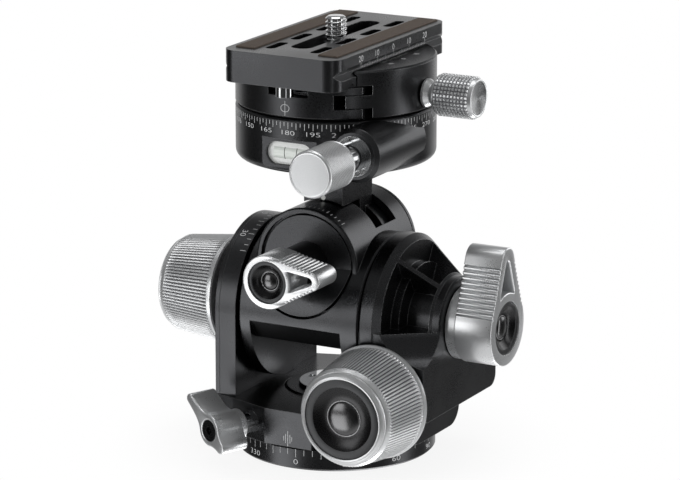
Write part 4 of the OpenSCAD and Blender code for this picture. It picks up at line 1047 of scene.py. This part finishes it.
def floor_white():
    """White, a little darker in the object's shadow, and open to glossy and shadow rays."""
    m = bpy.data.materials.new("floor_white")
    t = fresh_tree(m)
    rays = t.nodes.new("ShaderNodeLightPath").outputs
    diffuse = t.nodes.new("ShaderNodeBsdfDiffuse")
    diffuse.inputs["Color"].default_value = (0.93, 0.93, 0.93, 1)
    glow = t.nodes.new("ShaderNodeEmission")
    glow.inputs["Color"].default_value = (1, 1, 1, 1)
    # Metal sees through the floor, so the level mirrored in metal has no effect here
    t.links.new(strength(t, rays, WHITE, WHITE, FLOOR_LIT), glow.inputs["Strength"])
    length = t.nodes.new("ShaderNodeVectorMath")
    length.operation = "LENGTH"
    t.links.new(t.nodes.new("ShaderNodeTexCoord").outputs["Object"], length.inputs[0])
    fade = ramp(t, length.outputs["Value"], 0.035, 0.075, 0.88, 1.0)
    solid = blend(t, fade, diffuse.outputs[0], glow.outputs[0])
    clear = t.nodes.new("ShaderNodeBsdfTransparent").outputs[0]
    through = operation(t, "MAXIMUM", rays["Is Glossy Ray"], rays["Is Shadow Ray"])
    out = t.nodes.new("ShaderNodeOutputMaterial")
    t.links.new(blend(t, through, solid, clear), out.inputs["Surface"])
    return m


def floor():
    h = FLOOR_HALF
    me = bpy.data.meshes.new("floor")
    me.from_pydata([(-h, -h, 0), (h, -h, 0), (h, h, 0), (-h, h, 0)], [], [(0, 1, 2, 3)])
    me.materials.append(floor_white())
    o = bpy.data.objects.new("floor", me)
    o.location = (0, 0, -FLOOR_DROP)
    bpy.context.scene.collection.objects.link(o)


def studio():
    """White for the camera and glass; metal sees white towards the backdrop and far below, else darker."""
    world = bpy.data.worlds.new("studio")
    bpy.context.scene.world = world
    t = fresh_tree(world)
    way = t.nodes.new("ShaderNodeTexCoord").outputs["Generated"]
    parts = t.nodes.new("ShaderNodeSeparateXYZ")
    t.links.new(way, parts.inputs[0])
    height = parts.outputs["Z"]
    below = ramp(t, height, -0.75, -0.32, 1.0, 0.05)
    above = ramp(t, height, 0.0, 0.6, 0.0, 0.20)
    graded = operation(t, "ADD", below, above)
    toward = t.nodes.new("ShaderNodeVectorMath")
    toward.operation = "DOT_PRODUCT"
    toward.inputs[1].default_value = TO_BACKDROP
    t.links.new(way, toward.inputs[0])
    backdrop = ramp(t, toward.outputs["Value"], 0.55, 0.92, 0.0, 1.0)
    mirrored = operation(t, "MAXIMUM", graded, backdrop)
    rays = t.nodes.new("ShaderNodeLightPath").outputs
    glow = t.nodes.new("ShaderNodeBackground")
    t.links.new(strength(t, rays, WHITE, mirrored, WORLD_LIT), glow.inputs["Strength"])
    t.links.new(glow.outputs[0], t.nodes.new("ShaderNodeOutputWorld").inputs["Surface"])


def softbox(name, x, y, z, w, h, glow, aim_z):
    """A soft rectangular lamp, aimed at a height on the axis; glow is how bright its face is."""
    data = bpy.data.lights.new(name, "AREA")
    data.shape, data.size, data.size_y = "RECTANGLE", w * MM, h * MM
    data.energy = glow * math.pi * w * h * MM * MM
    o = bpy.data.objects.new(name, data)
    bpy.context.scene.collection.objects.link(o)
    place = at(x, y, z).to_translation()
    o.location = place
    o.rotation_euler = (place - at(0, 0, aim_z).to_translation()).to_track_quat("Z", "Y").to_euler()


def lamps():
    softbox("left_low", -400, -600, -280, 380, 300, 2.8, 20)
    softbox("left_high", -400, -600, 115, 300, 330, 2.4, 20)
    softbox("right_box", 620, 220, 20, 130, 900, 3.4, 20)
    softbox("back_box", 330, 640, 230, 400, 400, 1.9, 65)
    softbox("low_box", 60, 220, -520, 300, 300, 4.2, 65)
    softbox("top_box", -60, 60, 720, 520, 300, 2.4, 65)
    softbox("front_box", 640, -620, -60, 90, 700, 1.4, 20)


def camera():
    """The camera fitted to the photo."""
    data = bpy.data.cameras.new("camera")
    data.lens, data.sensor_width = 185.67, 36.0
    data.clip_start, data.clip_end = 0.02, 20
    eye = bpy.data.objects.new("camera", data)
    eye.location = (0.4842, -0.8898, 0.3270)
    eye.rotation_euler = (math.radians(90 - 14.616), 0, math.radians(28.489))
    bpy.context.scene.collection.objects.link(eye)
    bpy.context.scene.camera = eye


floor()
studio()
lamps()
camera()
bpy.context.scene.view_settings.view_transform = "Standard"
